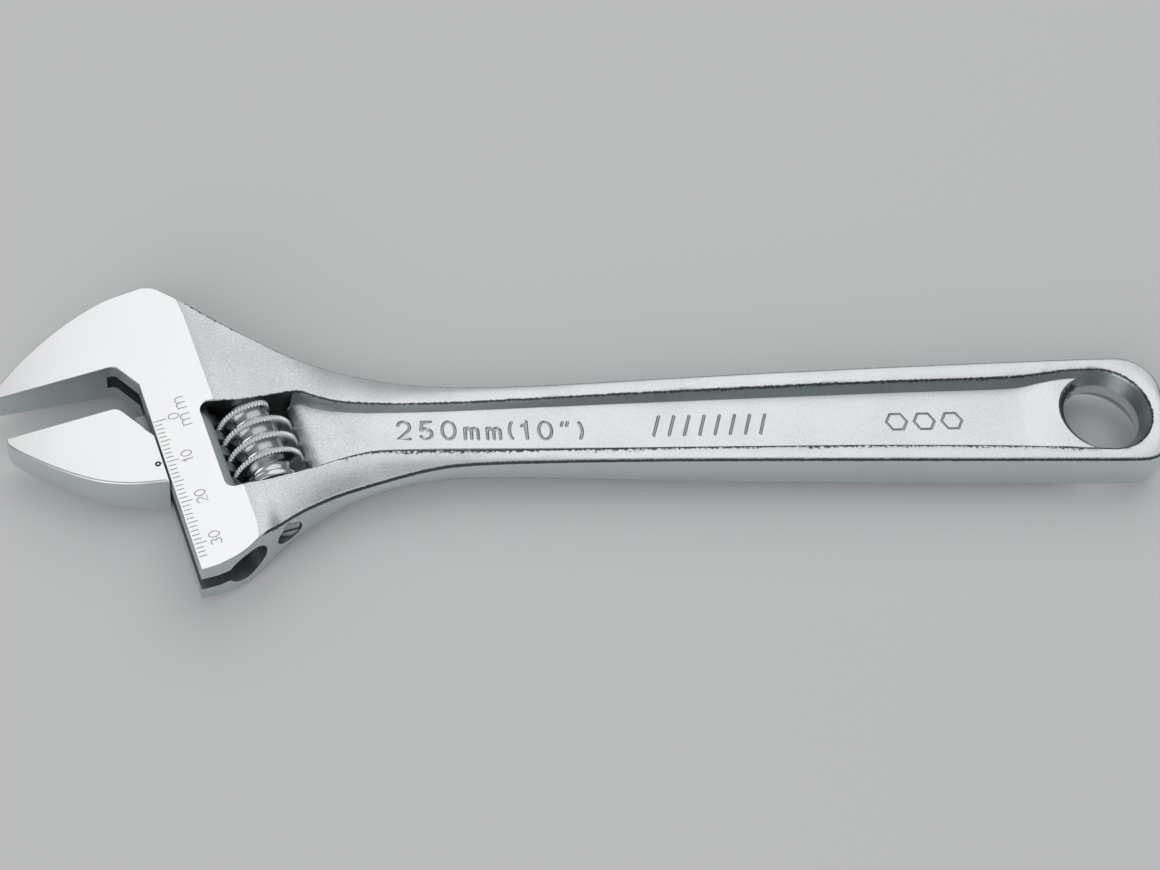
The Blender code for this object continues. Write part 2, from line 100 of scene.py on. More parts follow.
def stretch(points, step, smooth=True):
    """Even points on a smooth or straight run through the given ones, without the last of them."""
    run = np.array(points, float)
    if smooth:
        ends = np.vstack([2 * run[0] - run[1], run, 2 * run[-1] - run[-2]])
        t = np.linspace(0, 1, 12, endpoint=False)[:, None]
        pieces = []
        for a, b, c, d in zip(ends, ends[1:], ends[2:], ends[3:]):
            cube = (3 * b - a - 3 * c + d) * t**3
            pieces.append(b + ((c - a) * t + (2 * a - 5 * b + 4 * c - d) * t**2 + cube) / 2)
        run = np.vstack([*pieces, run[-1]])
    along = np.concatenate([[0], np.cumsum(np.linalg.norm(np.diff(run, axis=0), axis=1))])
    places = np.linspace(0, along[-1], max(1, round(along[-1] / step)), endpoint=False)
    return np.stack([np.interp(places, along, run[:, axis]) for axis in (0, 1)], axis=1)


def fillet(before, corner, after, radius, step):
    """Points of the arc that rounds a corner between two straight lines."""
    before, corner, after = Vector(before), Vector(corner), Vector(after)
    back, on = (before - corner).normalized(), (after - corner).normalized()
    half = back.angle(on) / 2
    middle = corner + (back + on).normalized() * (radius / math.sin(half))
    start = corner + back * (radius / math.tan(half)) - middle
    turn = start.angle_signed(corner + on * (radius / math.tan(half)) - middle)
    count = max(2, round(abs(turn) * radius / step))
    return np.array([middle + start @ Matrix.Rotation(turn * k / count, 2) for k in range(count + 1)])


def normals_of(loop):
    """Unit normals that point to the right of a closed loop's direction, longer at a corner."""
    ahead = np.roll(loop, -1, axis=0) - loop
    ahead /= np.linalg.norm(ahead, axis=1)[:, None]
    behind = np.roll(ahead, 1, axis=0)
    both = ahead + behind
    both /= np.maximum(np.linalg.norm(both, axis=1), 1e-9)[:, None]
    both /= np.maximum((both * ahead).sum(axis=1), 0.6)[:, None]
    return np.stack([both[:, 1], -both[:, 0]], axis=1)


def turned_left(loop):
    """The loop with its inside on the left of its direction."""
    ahead = np.roll(loop, -1, axis=0)
    area = (loop[:, 0] * ahead[:, 1] - loop[:, 1] * ahead[:, 0]).sum()
    return loop if area > 0 else loop[::-1]


def grown(loop, distance):
    """The closed loop, moved outwards by a distance or by one distance a point."""
    loop = turned_left(loop)
    return loop + normals_of(loop) * np.reshape(distance, (-1, 1))


def distance_to(points, run, closed=True):
    """Distance from each point to the nearest place on a run."""
    best = np.full(len(points), np.inf)
    for start, end in zip(run, np.roll(run, -1, axis=0) if closed else run[1:]):
        step = end - start
        share = np.clip(((points - start) @ step) / (step @ step), 0, 1)
        best = np.minimum(best, np.linalg.norm(points - start - share[:, None] * step, axis=1))
    return best


def inside(points, loop):
    """Whether each point is inside a closed loop."""
    hits = np.zeros(len(points), bool)
    x, y = points[:, 0], points[:, 1]
    for (xa, ya), (xb, yb) in zip(loop, np.roll(loop, -1, axis=0)):
        if ya != yb:
            hits ^= ((ya > y) != (yb > y)) & (x < (xb - xa) * (y - ya) / (yb - ya) + xa)
    return hits


def ease(low, high, values):
    """From 0 at low to 1 at high, level at both ends."""
    share = np.clip((values - low) / (high - low), 0, 1)
    return share * share * (3 - 2 * share)


STEP = 0.8  # between points of an outline
HEAD_DEPTH = 51.9
JAW_LENGTH = 28.0
HOLE_X = 207.7
END_X = 221.6
END_HALF_WIDTH = 13.5
END_CORNER_RADIUS = 8.5

jaw_back = [
    head_point(*p) for p in ((-27.6, -2.2), (-20.2, -7.9), (-11.4, -13.0), (-2.2, -16.5), (6.6, -17.5))
]
jaw_heel = [head_point(*p) for p in ((6.6, -17.5), (8.6, -16.9), (9.9, -15.9))]
upper_side = [
    head_point(9.9, -15.9), (14.1, 27.7), (22.2, 22.3), (30.3, 18.1), (38.4, 15.2), (46.6, 13.3),
    (54.7, 11.5), (63.0, 10.35), (72.0, 9.85), (92.7, 9.95), (132.7, 11.25), (172.7, 12.5), (HOLE_X, 13.45),
]
lower_side = [
    (HOLE_X, -13.45), (172.7, -12.5), (132.7, -11.25), (92.7, -9.92), (72.7, -9.55), (62.7, -10.04),
    (52.7, -12.2), (42.7, -15.8), (35.2, -19.9), (30.2, -23.5), (25.2, -27.8), (22.7, -30.2),
    (20.2, -31.95), head_point(3.5, HEAD_DEPTH),
]
end_corners = [(END_X, END_HALF_WIDTH), (END_X, -END_HALF_WIDTH)]
OUTLINE = np.vstack([
    stretch([head_point(-JAW_LENGTH, 0.0), jaw_back[0]], STEP),
    stretch(jaw_back, STEP),
    stretch(jaw_heel, STEP),
    stretch(upper_side, STEP),
    fillet(upper_side[-1], end_corners[0], end_corners[1], END_CORNER_RADIUS, STEP),
    fillet(end_corners[0], end_corners[1], lower_side[0], END_CORNER_RADIUS, STEP),
    stretch(lower_side, STEP),
    stretch([lower_side[-1], head_point(0.0, HEAD_DEPTH)], STEP, smooth=False),
    stretch([head_point(0.0, HEAD_DEPTH), head_point(0.0, 6.0)], STEP, smooth=False),
    stretch([head_point(0.0, 6.0), head_point(-3.3, 0.4)], STEP, smooth=False),
    stretch([head_point(-3.3, 0.4), head_point(-4.2, 0.0)], STEP, smooth=False),
    stretch([head_point(-4.2, 0.0), head_point(-JAW_LENGTH, 0.0)], STEP, smooth=False),
])

# The opening in each face: the worm's window runs on into the handle's recess.
WINDOW_LEFT = 9.9
WINDOW_RIGHT = 29.2
WINDOW_TOP = 14.4
WINDOW_FOOT = 35.5
END_RIM_RADIUS = 10.5
window_corners = [head_point(WINDOW_LEFT, WINDOW_FOOT), head_point(WINDOW_LEFT, WINDOW_TOP)]
window_peak = [head_point(11.9, 14.4), (20.6, 5.0), (26.0, 6.1), (32.3, 7.8)]
recess_top = [
    (32.3, 7.8), (34.3, 7.9), (36.6, 7.1), (40.2, 6.1), (45.2, 5.6), (50.5, 5.4), (62.9, 5.45),
    (84.0, 6.1), (109.7, 6.9), (135.7, 7.6), (162.7, 8.3), (185.5, 8.7), (194.7, 9.5), (201.0, 10.3),
    (HOLE_X, END_RIM_RADIUS),
]
recess_foot = [
    (HOLE_X, -END_RIM_RADIUS), (201.0, -10.2), (194.7, -9.6), (181.7, -8.9), (159.7, -8.2), (137.7, -7.7),
    (107.7, -7.1), (84.0, -6.7), (62.0, -6.3), (50.3, -6.4), (45.9, -7.2), (41.6, -8.7), (38.7, -9.9),
    head_point(27.0, 35.15), head_point(18.0, WINDOW_FOOT + 0.2), head_point(11.9, WINDOW_FOOT),
]
arc = np.radians(np.arange(90, -90, -5))
end_arc = np.stack([HOLE_X + END_RIM_RADIUS * np.cos(arc), END_RIM_RADIUS * np.sin(arc)], axis=1)
OPENING = turned_left(np.vstack([
    fillet(recess_foot[-1], window_corners[0], window_corners[1], 1.9, 0.4),
    fillet(window_corners[0], window_corners[1], window_peak[0], 1.9, 0.4),
    stretch(window_peak, STEP),
    stretch(recess_top, STEP),
    end_arc,
    stretch(recess_foot, STEP),
]))

GROUND_EDGE_E = (-16.0, -14.5, -12.0, -8.0, 45.0, 48.0, 50.2, 51.4)
GROUND_EDGE_D = (9.9, 11.6, 12.8, 13.2, 13.2, 12.7, 11.2, 9.0)
SLOT_HALF_THICKNESS = 5.5
HEAD_TAPER = 0.085
BLEND_WIDTH = 5.0  # over which the forged skin runs up to the ground face
# Height of the forging along its side edges, by d, and along the opening, by x
RIM_D = (9.0, 13.2, 20.0, 30.0, 40.0, 50.0, 64.0, 83.0, 102.0, 140.0, 208.0)
RIM_Z = (6.2, 6.6, 6.25, 5.2, 4.05, 3.55, 3.4, 3.7, 4.1, 4.7, 4.9)
CREASE_X = (12, 20, 25, 30, 35, 40, 45, 50, 55, 62, 72, 92, 112, 132, 160, 195)
CREASE_Z = (6.3, 6.2, 5.85, 4.9, 4.0, 3.0, 2.25, 1.95, 2.0, 2.4, 2.75, 3.45, 4.05, 4.45, 4.72, 4.85)
CROWN = 0.22  # rise of the rims between their two edges
FLOOR_Z = 2.0
FLOOR_RISE = 1.25  # of the panel's floor towards the hanging hole
FLOOR_RISE_X = (189.0, 198.5)
SILL_DROP = 0.4  # of the panel's floor at the window
SILL_WIDTH = 2.0
WALL_DRAFT = 1.3
HOLE_RADIUS = 8.55
HOLE_EDGE_Z = 1.3
HOLE_CONE = 1.9  # rise of the pocket round the hole for each unit of radius
LIP_Z = 2.0  # the same two where the panel rolls into the hole
LIP_SLOPE = 0.85
LIP_SPAN = (0.1, 0.7)  # cosines of the direction from the hole, where the lip starts and is full
EDGE_ROLL = 0.35  # width of the rounding along the opening's edge
EDGE_DROP = 0.16


def ground_edge(points):
    """How far each point is past the line where grinding stops."""
    return head_d(points) - np.interp(head_e(points), GROUND_EDGE_E, GROUND_EDGE_D)


def ground_face(points):
    """Height of the ground and polished face, which tapers towards the jaws."""
    return SLOT_HALF_THICKNESS + HEAD_TAPER * head_d(points)


def from_hole(points):
    """Distance from the hanging hole's axis."""
    return np.hypot(points[:, 0] - HOLE_X, points[:, 1])


def forging_height(points):
    """Height of the forging's face over the mid-plane."""
    d = head_d(points)
    to_opening = distance_to(points, OPENING)
    to_side = distance_to(points, OUTLINE)
    within = inside(points, OPENING)
    across = np.where(within, 0, to_opening / np.maximum(to_opening + to_side, 1e-6))
    rim, crease = np.interp(d, RIM_D, RIM_Z), np.interp(points[:, 0], CREASE_X, CREASE_Z)
    forged = rim + (crease - rim) * across + CROWN * np.sin(math.pi * across)
    face = ground_face(points) + (forged - ground_face(points)) * ease(0.0, BLEND_WIDTH, ground_edge(points))
    face -= EDGE_DROP * np.clip(1 - to_opening / EDGE_ROLL, 0, 1) ** 2
    floor = FLOOR_Z + FLOOR_RISE * ease(*FLOOR_RISE_X, points[:, 0])
    floor -= SILL_DROP * np.clip(1 - (d - WINDOW_RIGHT) / SILL_WIDTH, 0, 1) ** 2
    wall = np.clip(to_opening / WALL_DRAFT, 0, 1)
    radius = from_hole(points)
    lip = ease(*LIP_SPAN, (HOLE_X - points[:, 0]) / np.maximum(radius, 1.0))
    slope = HOLE_CONE + (LIP_SLOPE - HOLE_CONE) * lip
    cone = HOLE_EDGE_Z + (LIP_Z - HOLE_EDGE_Z) * lip + slope * (radius - HOLE_RADIUS)
    recess = np.minimum(face + (floor - face) * wall, cone)
    return np.where(within, recess, face)


def cut_away(points):
    """Whether each point is over the worm's window or the hanging hole."""
    over_window = inside(points, OPENING) & (head_d(points) < WINDOW_RIGHT)
    return over_window | (from_hole(points) < HOLE_RADIUS)


def boundary_loops(triangles):
    """The open edges of a triangulation as closed chains, with the surface on their left."""
    sides = {(a, b) for t in triangles for a, b in zip(t, np.roll(t, -1))}
    following = {a: b for a, b in sorted(sides) if (b, a) not in sides}
    loops = []
    while following:
        first = min(following)
        loop = [first]
        while following[loop[-1]] != first:
            loop.append(following.pop(loop[-1]))
        following.pop(loop[-1])
        loops.append(loop)
    return loops


def offset(run, distance):
    """An open run moved to its left."""
    ahead = np.gradient(run, axis=0)
    ahead /= np.linalg.norm(ahead, axis=1)[:, None]
    return run + np.stack([-ahead[:, 1], ahead[:, 0]], axis=1) * distance


def mark_lines(run, closed, half_width, depth):
    """The edges, flanks and middle of a mark, as lines for the triangulation; depth plays no part."""
    if closed:
        return [(grown(run, side * half_width), True) for side in (-1, -0.5, 0.5, 1)] + [(run, True)]
    out = half_width / np.linalg.norm(run[1] - run[0])
    tip = run[0] + (run[0] - run[1]) * out
    tail = run[-1] + (run[-1] - run[-2]) * half_width / np.linalg.norm(run[-1] - run[-2])
    edge = np.vstack([tip, offset(run, half_width), tail, offset(run, -half_width)[::-1]])
    inner = np.vstack([offset(run, half_width / 2), offset(run, -half_width / 2)[::-1]])
    return [(edge, True), (inner, True), (run, False)]


def mark_depth(points, marks):
    """How deep the marks are sunk at each point: round-bottomed, and nothing at their edges."""
    sunk = np.zeros(len(points))
    for run, closed, half_width, depth in marks:
        low, high = run.min(axis=0) - half_width, run.max(axis=0) + half_width
        near = np.flatnonzero(((points >= low) & (points <= high)).all(axis=1))
        if len(near):
            away = distance_to(points[near], run, closed) / half_width
            sunk[near] = np.maximum(sunk[near], depth * np.sqrt(np.clip(1 - away**2, 0, 1)))
    return sunk


SKIN, SIDE, BORED = 0, 1, 2  # the parts of a forging's surface
ROUNDING = np.radians((22, 45, 68, 90))


def two_faced(
    outline, height, edge_radius, bulge, lines=(), loose=(), marks=(), removed=None, inner_rings=None
):
    """A forging that is the same on both faces: points, faces, and each face's part of the surface.

    The upper skin is triangulated between its outline and lines. Rounded edges and walls run from it down
    to the mid-plane, and the lower half is its mirror image. The marks are sunk in the upper half only.
    """
    lines = [*lines, *[line for mark in marks for line in mark_lines(*mark)]]
    outline = turned_left(outline)
    rim = grown(outline, -edge_radius(outline))
    edges, start = [], 0
    for run, closed in [(rim, True), *lines]:
        count = len(run)
        edges += [(start + k, start + (k + 1) % count) for k in range(count if closed else count - 1)]
        start += count
    flat = np.vstack([rim, *[run for run, closed in lines], *loose])
    found = delaunay_2d_cdt([Vector(p) for p in flat], edges, [], 0, 1e-4)
    points = np.array([tuple(p) for p in found[0]])
    triangles = np.array([face for face in found[2] if len(face) == 3])
    middle = points[triangles].mean(axis=1)
    keep = inside(middle, rim)
    if removed:
        keep &= ~removed(middle)
    triangles = triangles[keep]
    a, b, c = (points[triangles[:, k]] for k in range(3))
    area = np.cross(b - a, c - a)
    triangles = triangles[np.abs(area) > 1e-7]
    area = area[np.abs(area) > 1e-7]
    triangles[area < 0] = triangles[area < 0][:, ::-1]
    tops = np.column_stack([points, height(points)])
    solid, faces, kinds = [tops], [tuple(t) for t in triangles], [SKIN] * len(triangles)
    total = len(tops)
    for loop in boundary_loops(triangles):
        edge = points[loop]
        outer = distance_to(edge[:1], rim)[0] < 0.01
        top = tops[loop]
        if outer:
            radius, out, z = edge_radius(edge), bulge(edge), top[:, 2]
            steps = [(radius * math.sin(a), z - radius * (1 - math.cos(a))) for a in ROUNDING]
            steps.append((radius + out * 0.1, z - radius - 0.25))
            steps.append((radius + out * 0.7, (z - radius) * 0.5))
            steps.append((radius + out, 0 * radius))
            away = normals_of(edge)
            rings = [np.column_stack([edge + away * shift[:, None], level]) for shift, level in steps]
        else:
            rings = inner_rings(top)
        upper = np.array(loop)
        for ring in rings:
            lower = np.arange(total, total + len(loop))
            total += len(loop)
            solid.append(ring)
            ahead = np.roll(upper, -1), np.roll(lower, -1)
            faces += list(zip(ahead[0], upper, lower, ahead[1]))
            kinds += [SIDE if outer else BORED] * len(loop)
            upper = lower
    solid = np.vstack(solid)
    used = np.unique(np.concatenate([np.array(f) for f in faces]))
    renumber = np.full(len(solid), -1)
    renumber[used] = np.arange(len(used))
    solid = solid[used]
    faces = [tuple(renumber[list(face)]) for face in faces]
    on_middle = np.abs(solid[:, 2]) < 1e-6
    below = np.where(on_middle, np.arange(len(solid)), 0)
    below[~on_middle] = len(solid) + np.arange((~on_middle).sum())
    mirrored = solid[~on_middle] * (1, 1, -1)
    solid[:, 2] -= np.where(on_middle, 0, mark_depth(solid[:, :2], marks))
    faces += [tuple(below[list(face)][::-1]) for face in faces]
    return np.vstack([solid, mirrored]), faces, kinds + kinds


def sharpen(mesh, sharp=32):
    """Smooth shading, but not over sharp edges and not between two materials."""
    mesh.shade_smooth()
    mesh.set_sharp_from_angle(angle=math.radians(sharp))
    whole = bmesh.new()
    whole.from_mesh(mesh)
    for edge in whole.edges:
        if len({face.material_index for face in edge.link_faces}) > 1:
            edge.smooth = False
    whole.to_mesh(mesh)
    whole.free()


def add(name, data):
    """A new object in the scene."""
    made = bpy.data.objects.new(name, data)
    bpy.context.scene.collection.objects.link(made)
    return made


def mesh_object(name, points, faces, materials, indices=None):
    """A mesh object, from points in millimetres, whose faces take the materials by index."""
    mesh = bpy.data.meshes.new(name)
    mesh.from_pydata([tuple(p) for p in place(points)], [], [tuple(int(i) for i in f) for f in faces])
    for material in materials:
        mesh.materials.append(material)
    if indices is not None:
        mesh.polygons.foreach_set("material_index", np.asarray(indices, np.int32))
    return add(name, mesh)


class Wire:
    """A socket in a material. Arithmetic on it adds Math nodes."""

    def __init__(self, tree, socket=None):
        self.tree = tree
        self.socket = socket

    def node(self, kind, settings, inputs, output=0):
        """Adds a node, applies its settings, fills its sockets and gives one of its outputs."""
        made = self.tree.nodes.new(kind)
        for name, value in settings.items():
            if name == "stops":
                ramp = made.color_ramp
                while len(ramp.elements) < len(value):
                    ramp.elements.new(0.5)
                for element, (position, level) in zip(ramp.elements, value):
                    element.position = position
                    element.color = (level, level, level, 1.0)
            else:
                setattr(made, name, value)
        for name, value in inputs.items():
            if isinstance(value, Wire):
                self.tree.links.new(value.socket, made.inputs[name])
            else:
                made.inputs[name].default_value = value
        return Wire(self.tree, made.outputs[output])

    def noise(self, scale, detail=2.0, roughness=0.5):
        inputs = {"Vector": self, "Scale": scale, "Detail": detail, "Roughness": roughness}
        return self.node("ShaderNodeTexNoise", {}, inputs)

    def ramp(self, *stops):
        return self.node("ShaderNodeValToRGB", {"stops": stops}, {"Fac": self})

    def between(self, first, second):
        """First colour where this socket is 0, and second where it is 1."""
        return self.node("ShaderNodeMix", {"data_type": "RGBA"}, {0: self, 6: first, 7: second}, output=2)


def arithmetic(operation, swapped):
    def apply(self, other):
        pair = {0: other, 1: self} if swapped else {0: self, 1: other}
        return self.node("ShaderNodeMath", {"operation": operation}, pair)

    return apply


for symbol, operation in (("add", "ADD"), ("sub", "SUBTRACT"), ("mul", "MULTIPLY"), ("truediv", "DIVIDE")):
    setattr(Wire, f"__{symbol}__", arithmetic(operation, False))
    setattr(Wire, f"__r{symbol}__", arithmetic(operation, True))


def finish_of(name):
    """A new metal: its material, a wire that starts in its object's own space, and its shader."""
    material = bpy.data.materials.new(name)
    material.use_nodes = True
    tree = material.node_tree
    shader = tree.nodes["Principled BSDF"]
    shader.inputs["Metallic"].default_value = 1.0
    space = Wire(tree).node("ShaderNodeTexCoord", {}, {}, output="Object")
    return material, space, shader


def wear(shader, **sockets):
    """Links wires to the shader's sockets, by their names with _ for a space."""
    for name, wire in sockets.items():
        wire.tree.links.new(wire.socket, shader.inputs[name.replace("_", " ")])


def relief(space, height, depth):
    """A normal that follows a height from 0 to 1, over a depth in millimetres."""
    return space.node("ShaderNodeBump", {}, {"Strength": 1.0, "Distance": depth * MM, "Height": height})


def satin_chrome(name, light, dark, grain_depth):
    """Blasted forging skin under chrome: pebbled, mottled, and painted dark in a ragged line of shade along
    its trimmed edges and creases.
    """
    material, space, shader = finish_of(name)
    pebbles = space.noise(3400.0, 2.0, 0.6)
    swell = space.noise(220.0, 2.0)
    patches = space.noise(90.0, 3.0)
    crease = space.node("ShaderNodeAttribute", {"attribute_name": "crease"}, {}, output="Fac")
    coarse = space.node("ShaderNodeAttribute", {"attribute_name": "coarse"}, {}, output="Fac")
    # Painted shade: a ragged dark line where the crease attribute is high
    edge_shade = (crease + (space.noise(1500.0, 3.0) - 0.5) * 1.1).ramp((0.6, 0.0), (0.8, 1.0))
    grain = pebbles * 0.75 + patches * 0.25 - 0.5
    tone = (grain * (0.8 + coarse * 0.6) + 0.60 - coarse * 0.14).ramp((0.36, 0.0), (0.64, 1.0))
    wear(
        shader,
        Base_Color=edge_shade.between(tone.between(dark, light), (0.10, 0.12, 0.13, 1.0)),
        Roughness=0.26 + pebbles * 0.16 + edge_shade * 0.15,
        Normal=relief(space, pebbles * 0.7 + swell * 0.3, grain_depth),
    )
    return material


def ground_chrome(name):
    """Ground and buffed chrome: almost a mirror, with a faint haze and a slow ripple."""
    material, space, shader = finish_of(name)
    haze = space.noise(60.0, 4.0)
    ripple = space.noise(45.0, 1.0)
    wear(
        shader,
        Base_Color=haze.between((0.88, 0.895, 0.91, 1.0), (0.93, 0.94, 0.95, 1.0)),
        Roughness=0.13 + haze * 0.10,
        Normal=relief(space, ripple, 0.05),
    )
    return material


def machined_steel(name, light, dark, roughness):
    """A cut surface: grey, with faint tool marks along the slide."""
    material, space, shader = finish_of(name)
    drawn_out = space.node("ShaderNodeMapping", {}, {"Vector": space, "Scale": (1.0, 0.15, 1.0)})
    marks = drawn_out.noise(1600.0, 2.0)
    stain = space.noise(120.0, 3.0)
    wear(
        shader,
        Base_Color=(stain * 0.6 + marks * 0.4).between(dark, light),
        Roughness=roughness + marks * 0.12,
        Normal=relief(space, marks, 0.02),
    )
    return material


FORGED = satin_chrome("forged_chrome", (0.86, 0.88, 0.89, 1.0), (0.60, 0.63, 0.64, 1.0), 0.065)
# Painted shade: a darker copy of the forged chrome for the side walls
SHADED_FLANK = satin_chrome("flank_chrome_painted_shade", (0.70, 0.76, 0.77, 1.0), (0.58, 0.64, 0.65, 1.0), 0.04)
GROUND = ground_chrome("ground_chrome")
BROACHED = machined_steel("broached_steel", (0.42, 0.46, 0.46, 1.0), (0.30, 0.34, 0.34, 1.0), 0.40)
# Painted shade: near-black steel for the walls inside the worm's window
WINDOW_SHADE = machined_steel("window_wall_painted_shade", (0.17, 0.19, 0.19, 1.0), (0.10, 0.12, 0.12, 1.0), 0.35)
ENGRAVED = machined_steel("engraved_mark", (0.58, 0.59, 0.61, 1.0), (0.46, 0.47, 0.49, 1.0), 0.5)
# Painted shade: a darker copy of the satin chrome for the panel's walls, the cone round the hanging hole and
# the stamped strokes
SHADED_RECESS = satin_chrome("recess_chrome_painted_shade", (0.44, 0.49, 0.50, 1.0), (0.31, 0.36, 0.37, 1.0), 0.04)
FORGING_METALS = [GROUND, FORGED, SHADED_FLANK, WINDOW_SHADE, BROACHED, ENGRAVED, SHADED_RECESS]


def edge_radius(points):
    """The ground head keeps a crisp edge; the handle's is rounder."""
    return 0.18 + 0.42 * ease(14.0, 40.0, points[:, 0])


def side_bulge(points):
    """How far the mid-plane stands proud of the rounded edge."""
    return 0.30 * ease(16.0, 34.0, points[:, 0])


def window_rings(top):
    """Walls of the window and of the hanging hole, from the skin down to the mid-plane."""
    flat, z = top[:, :2], top[:, 2]
    if from_hole(flat)[0] < HOLE_RADIUS + 0.5:
        return [np.column_stack([flat, z * 0.5]), np.column_stack([flat, 0 * z])]
    flare = (head_d(flat) > WINDOW_RIGHT - 0.05) * ease(0.0, 1.2, distance_to(flat, OPENING))
    back = -np.array((ALONG.x, ALONG.y))
    rings = []
    for share, shift in ((0.9, 0.2), (0.65, 0.6), (0.3, 1.1), (0.0, 1.3)):
        rings.append(np.column_stack([flat + back * (flare * shift)[:, None], z * share]))
    return rings


def beyond(run, edge_d):
    """The part of a run that lies past d."""
    return run[head_d(run) > edge_d]


# Lines that the forging's skin bends along
CONE_RIM_RADIUS = 10.0
roll_start = grown(OPENING, EDGE_ROLL)
from_window = np.roll(OPENING, -int(np.argmin(head_d(OPENING))), axis=0)
wall_head = beyond(grown(from_window, -0.3), WINDOW_RIGHT + 0.2)
wall_foot = beyond(grown(OPENING, -WALL_DRAFT), WINDOW_RIGHT - 1.0)
wall_foot = wall_foot[(from_hole(wall_foot) > CONE_RIM_RADIUS) & inside(wall_foot, OPENING)]
wall_foot = wall_foot[np.argsort(wall_foot[:, 0])]
window_side = np.array([head_point(WINDOW_RIGHT, e) for e in np.arange(13.0, 38.0, 0.5)])
around = np.radians(np.arange(0, 360, 5))
hole_rings = [
    np.stack([HOLE_X + r * np.cos(around), r * np.sin(around)], axis=1)
    for r in (HOLE_RADIUS, 8.9, 9.4, CONE_RIM_RADIUS)
]
ground_line = np.array([
    head_point(np.interp(e, GROUND_EDGE_E, GROUND_EDGE_D), e) for e in np.arange(-16.0, 52.0, 0.75)
])
GRID = 1.0


def lattice_over(outline, grid):
    """Points of a triangular lattice inside an outline, clear of its edge."""
    low, high = outline.min(axis=0), outline.max(axis=0)
    columns, rows = np.arange(low[0], high[0], grid), np.arange(low[1], high[1], grid * 0.866)
    spots = np.array([(x + grid / 2 * (k % 2), y) for k, y in enumerate(rows) for x in columns])
    spots = spots[inside(spots, outline)]
    return spots[distance_to(spots, outline) > grid * 0.9]


lattice = lattice_over(OUTLINE, GRID)
clear = (np.abs(ground_edge(lattice)) > 0.5) & ~cut_away(lattice)
for run in (OPENING, roll_start, hole_rings[-1]):
    clear &= distance_to(lattice, run) > 0.5
lattice = lattice[clear]
lattice = lattice[np.abs(distance_to(lattice, OPENING) - WALL_DRAFT) > 0.35]

# The scale: a millimetre rule along the slot's edge, engraved after grinding, with its figures beside it
SCALE_START = 15.9
SCALE_END = 33
LINE = 0.10  # half the width of a scale line
LINE_DEPTH = 0.07


def tick_reach(number):
    """Where a scale line starts and ends; every fifth and tenth is longer."""
    if number == 0:
        return 0.35, 2.9
    return 0.5, 2.75 if number % 10 == 0 else 2.4 if number % 5 == 0 else 1.95


scale = []
for number in range(SCALE_END + 1):
    ends = [head_point(reach, SCALE_START + number) for reach in tick_reach(number)]
    scale.append((np.array(ends), False, LINE, LINE_DEPTH))


def bow(centre, radii, start, end, count=9):
    """Points along part of an ellipse, between two angles in degrees."""
    turns = np.radians(np.linspace(start, end, count))
    return [(centre[0] + radii[0] * math.cos(t), centre[1] + radii[1] * math.sin(t)) for t in turns]


# Single-stroke figures in a box 0.65 wide and 1 high
FIGURES = {
    "0": [bow((0.32, 0.5), (0.30, 0.48), 90, 450, 21)[:-1]],
    "1": [[(0.12, 0.74), (0.36, 0.98), (0.36, 0.02)]],
    "2": [[*bow((0.32, 0.68), (0.28, 0.30), 165, -35, 10), (0.04, 0.02), (0.62, 0.02)]],
    "3": [[*bow((0.30, 0.75), (0.25, 0.23), 150, -75, 9), *bow((0.30, 0.27), (0.29, 0.25), 75, -150, 10)]],
    "5": [[(0.56, 0.98), (0.12, 0.98), (0.08, 0.54), *bow((0.30, 0.32), (0.28, 0.29), 110, -150, 10)]],
    "m": [
        [(0.04, 0.02), (0.04, 0.64)],
        [*bow((0.19, 0.46), (0.15, 0.18), 180, 0, 7), (0.34, 0.02)],
        [(0.34, 0.40), *bow((0.49, 0.46), (0.15, 0.18), 180, 0, 7), (0.64, 0.02)],
    ],
    "(": [bow((0.55, 0.5), (0.30, 0.56), 125, 235, 8)],
    ")": [bow((0.10, 0.5), (0.30, 0.56), 55, -55, 8)],
    '"': [[(0.24, 0.98), (0.16, 0.74)], [(0.48, 0.98), (0.40, 0.74)]],
}
SHARES = {"(": 0.6, ")": 0.6, "1": 0.75, '"': 0.8}  # of the pitch that a narrow figure takes


def lettered(text, start, right, up, size, pitch, half_width, depth):
    """Marks for a row of figures, from its start, with its own right and up directions."""
    made = []
    right, up, start = np.array(right), np.array(up), np.array(start)
    shares = [SHARES.get(letter, 1.0) for letter in text]
    for index, letter in enumerate(text):
        across = pitch * (sum(shares[:index]) + (shares[index] - shares[0]) / 2)
        for stroke in FIGURES[letter]:
            run = np.array([start + right * (across + x * size) + up * (y * size) for x, y in stroke])
            made.append((run, letter == "0", half_width, depth))
    return made


READS = np.array((-OPENS.x, -OPENS.y))
TOPS = np.array((-ALONG.x, -ALONG.y))
FIGURE_SIZE = 2.2
for number, text in ((0, "0"), (10, "10"), (20, "20"), (30, "30")):
    start = head_point(5.65, SCALE_START - 0.25 + number + 0.8 * len(text))
    scale += lettered(text, start, READS, TOPS, FIGURE_SIZE, 1.65, LINE, LINE_DEPTH)
scale += lettered("mm", head_point(7.7, 18.8), READS * 1.5, TOPS, 3.0, 2.83, LINE, LINE_DEPTH)

# The size mark stamped in the panel, then plain slanted strokes and hexagons where a maker would sign
STAMP_HALF = 0.36
STAMP_DEPTH = 0.3
stamps = lettered('250mm(10")', (53.65, -2.56), (1, -0.0237), (0.02, 1), 4.5, 4.65, STAMP_HALF, STAMP_DEPTH)
for k in range(8):
    foot = 107.5 + 3.3 * k
    stamps.append((np.array([(foot, -2.9), (foot + 1.7, 2.0)]), False, STAMP_HALF, STAMP_DEPTH))
for k in range(3):
    stamps.append((np.array(bow((161.0 + 6.2 * k, -0.6), (2.3, 2.3), 0, 300, 6)), True, 0.3, STAMP_DEPTH))

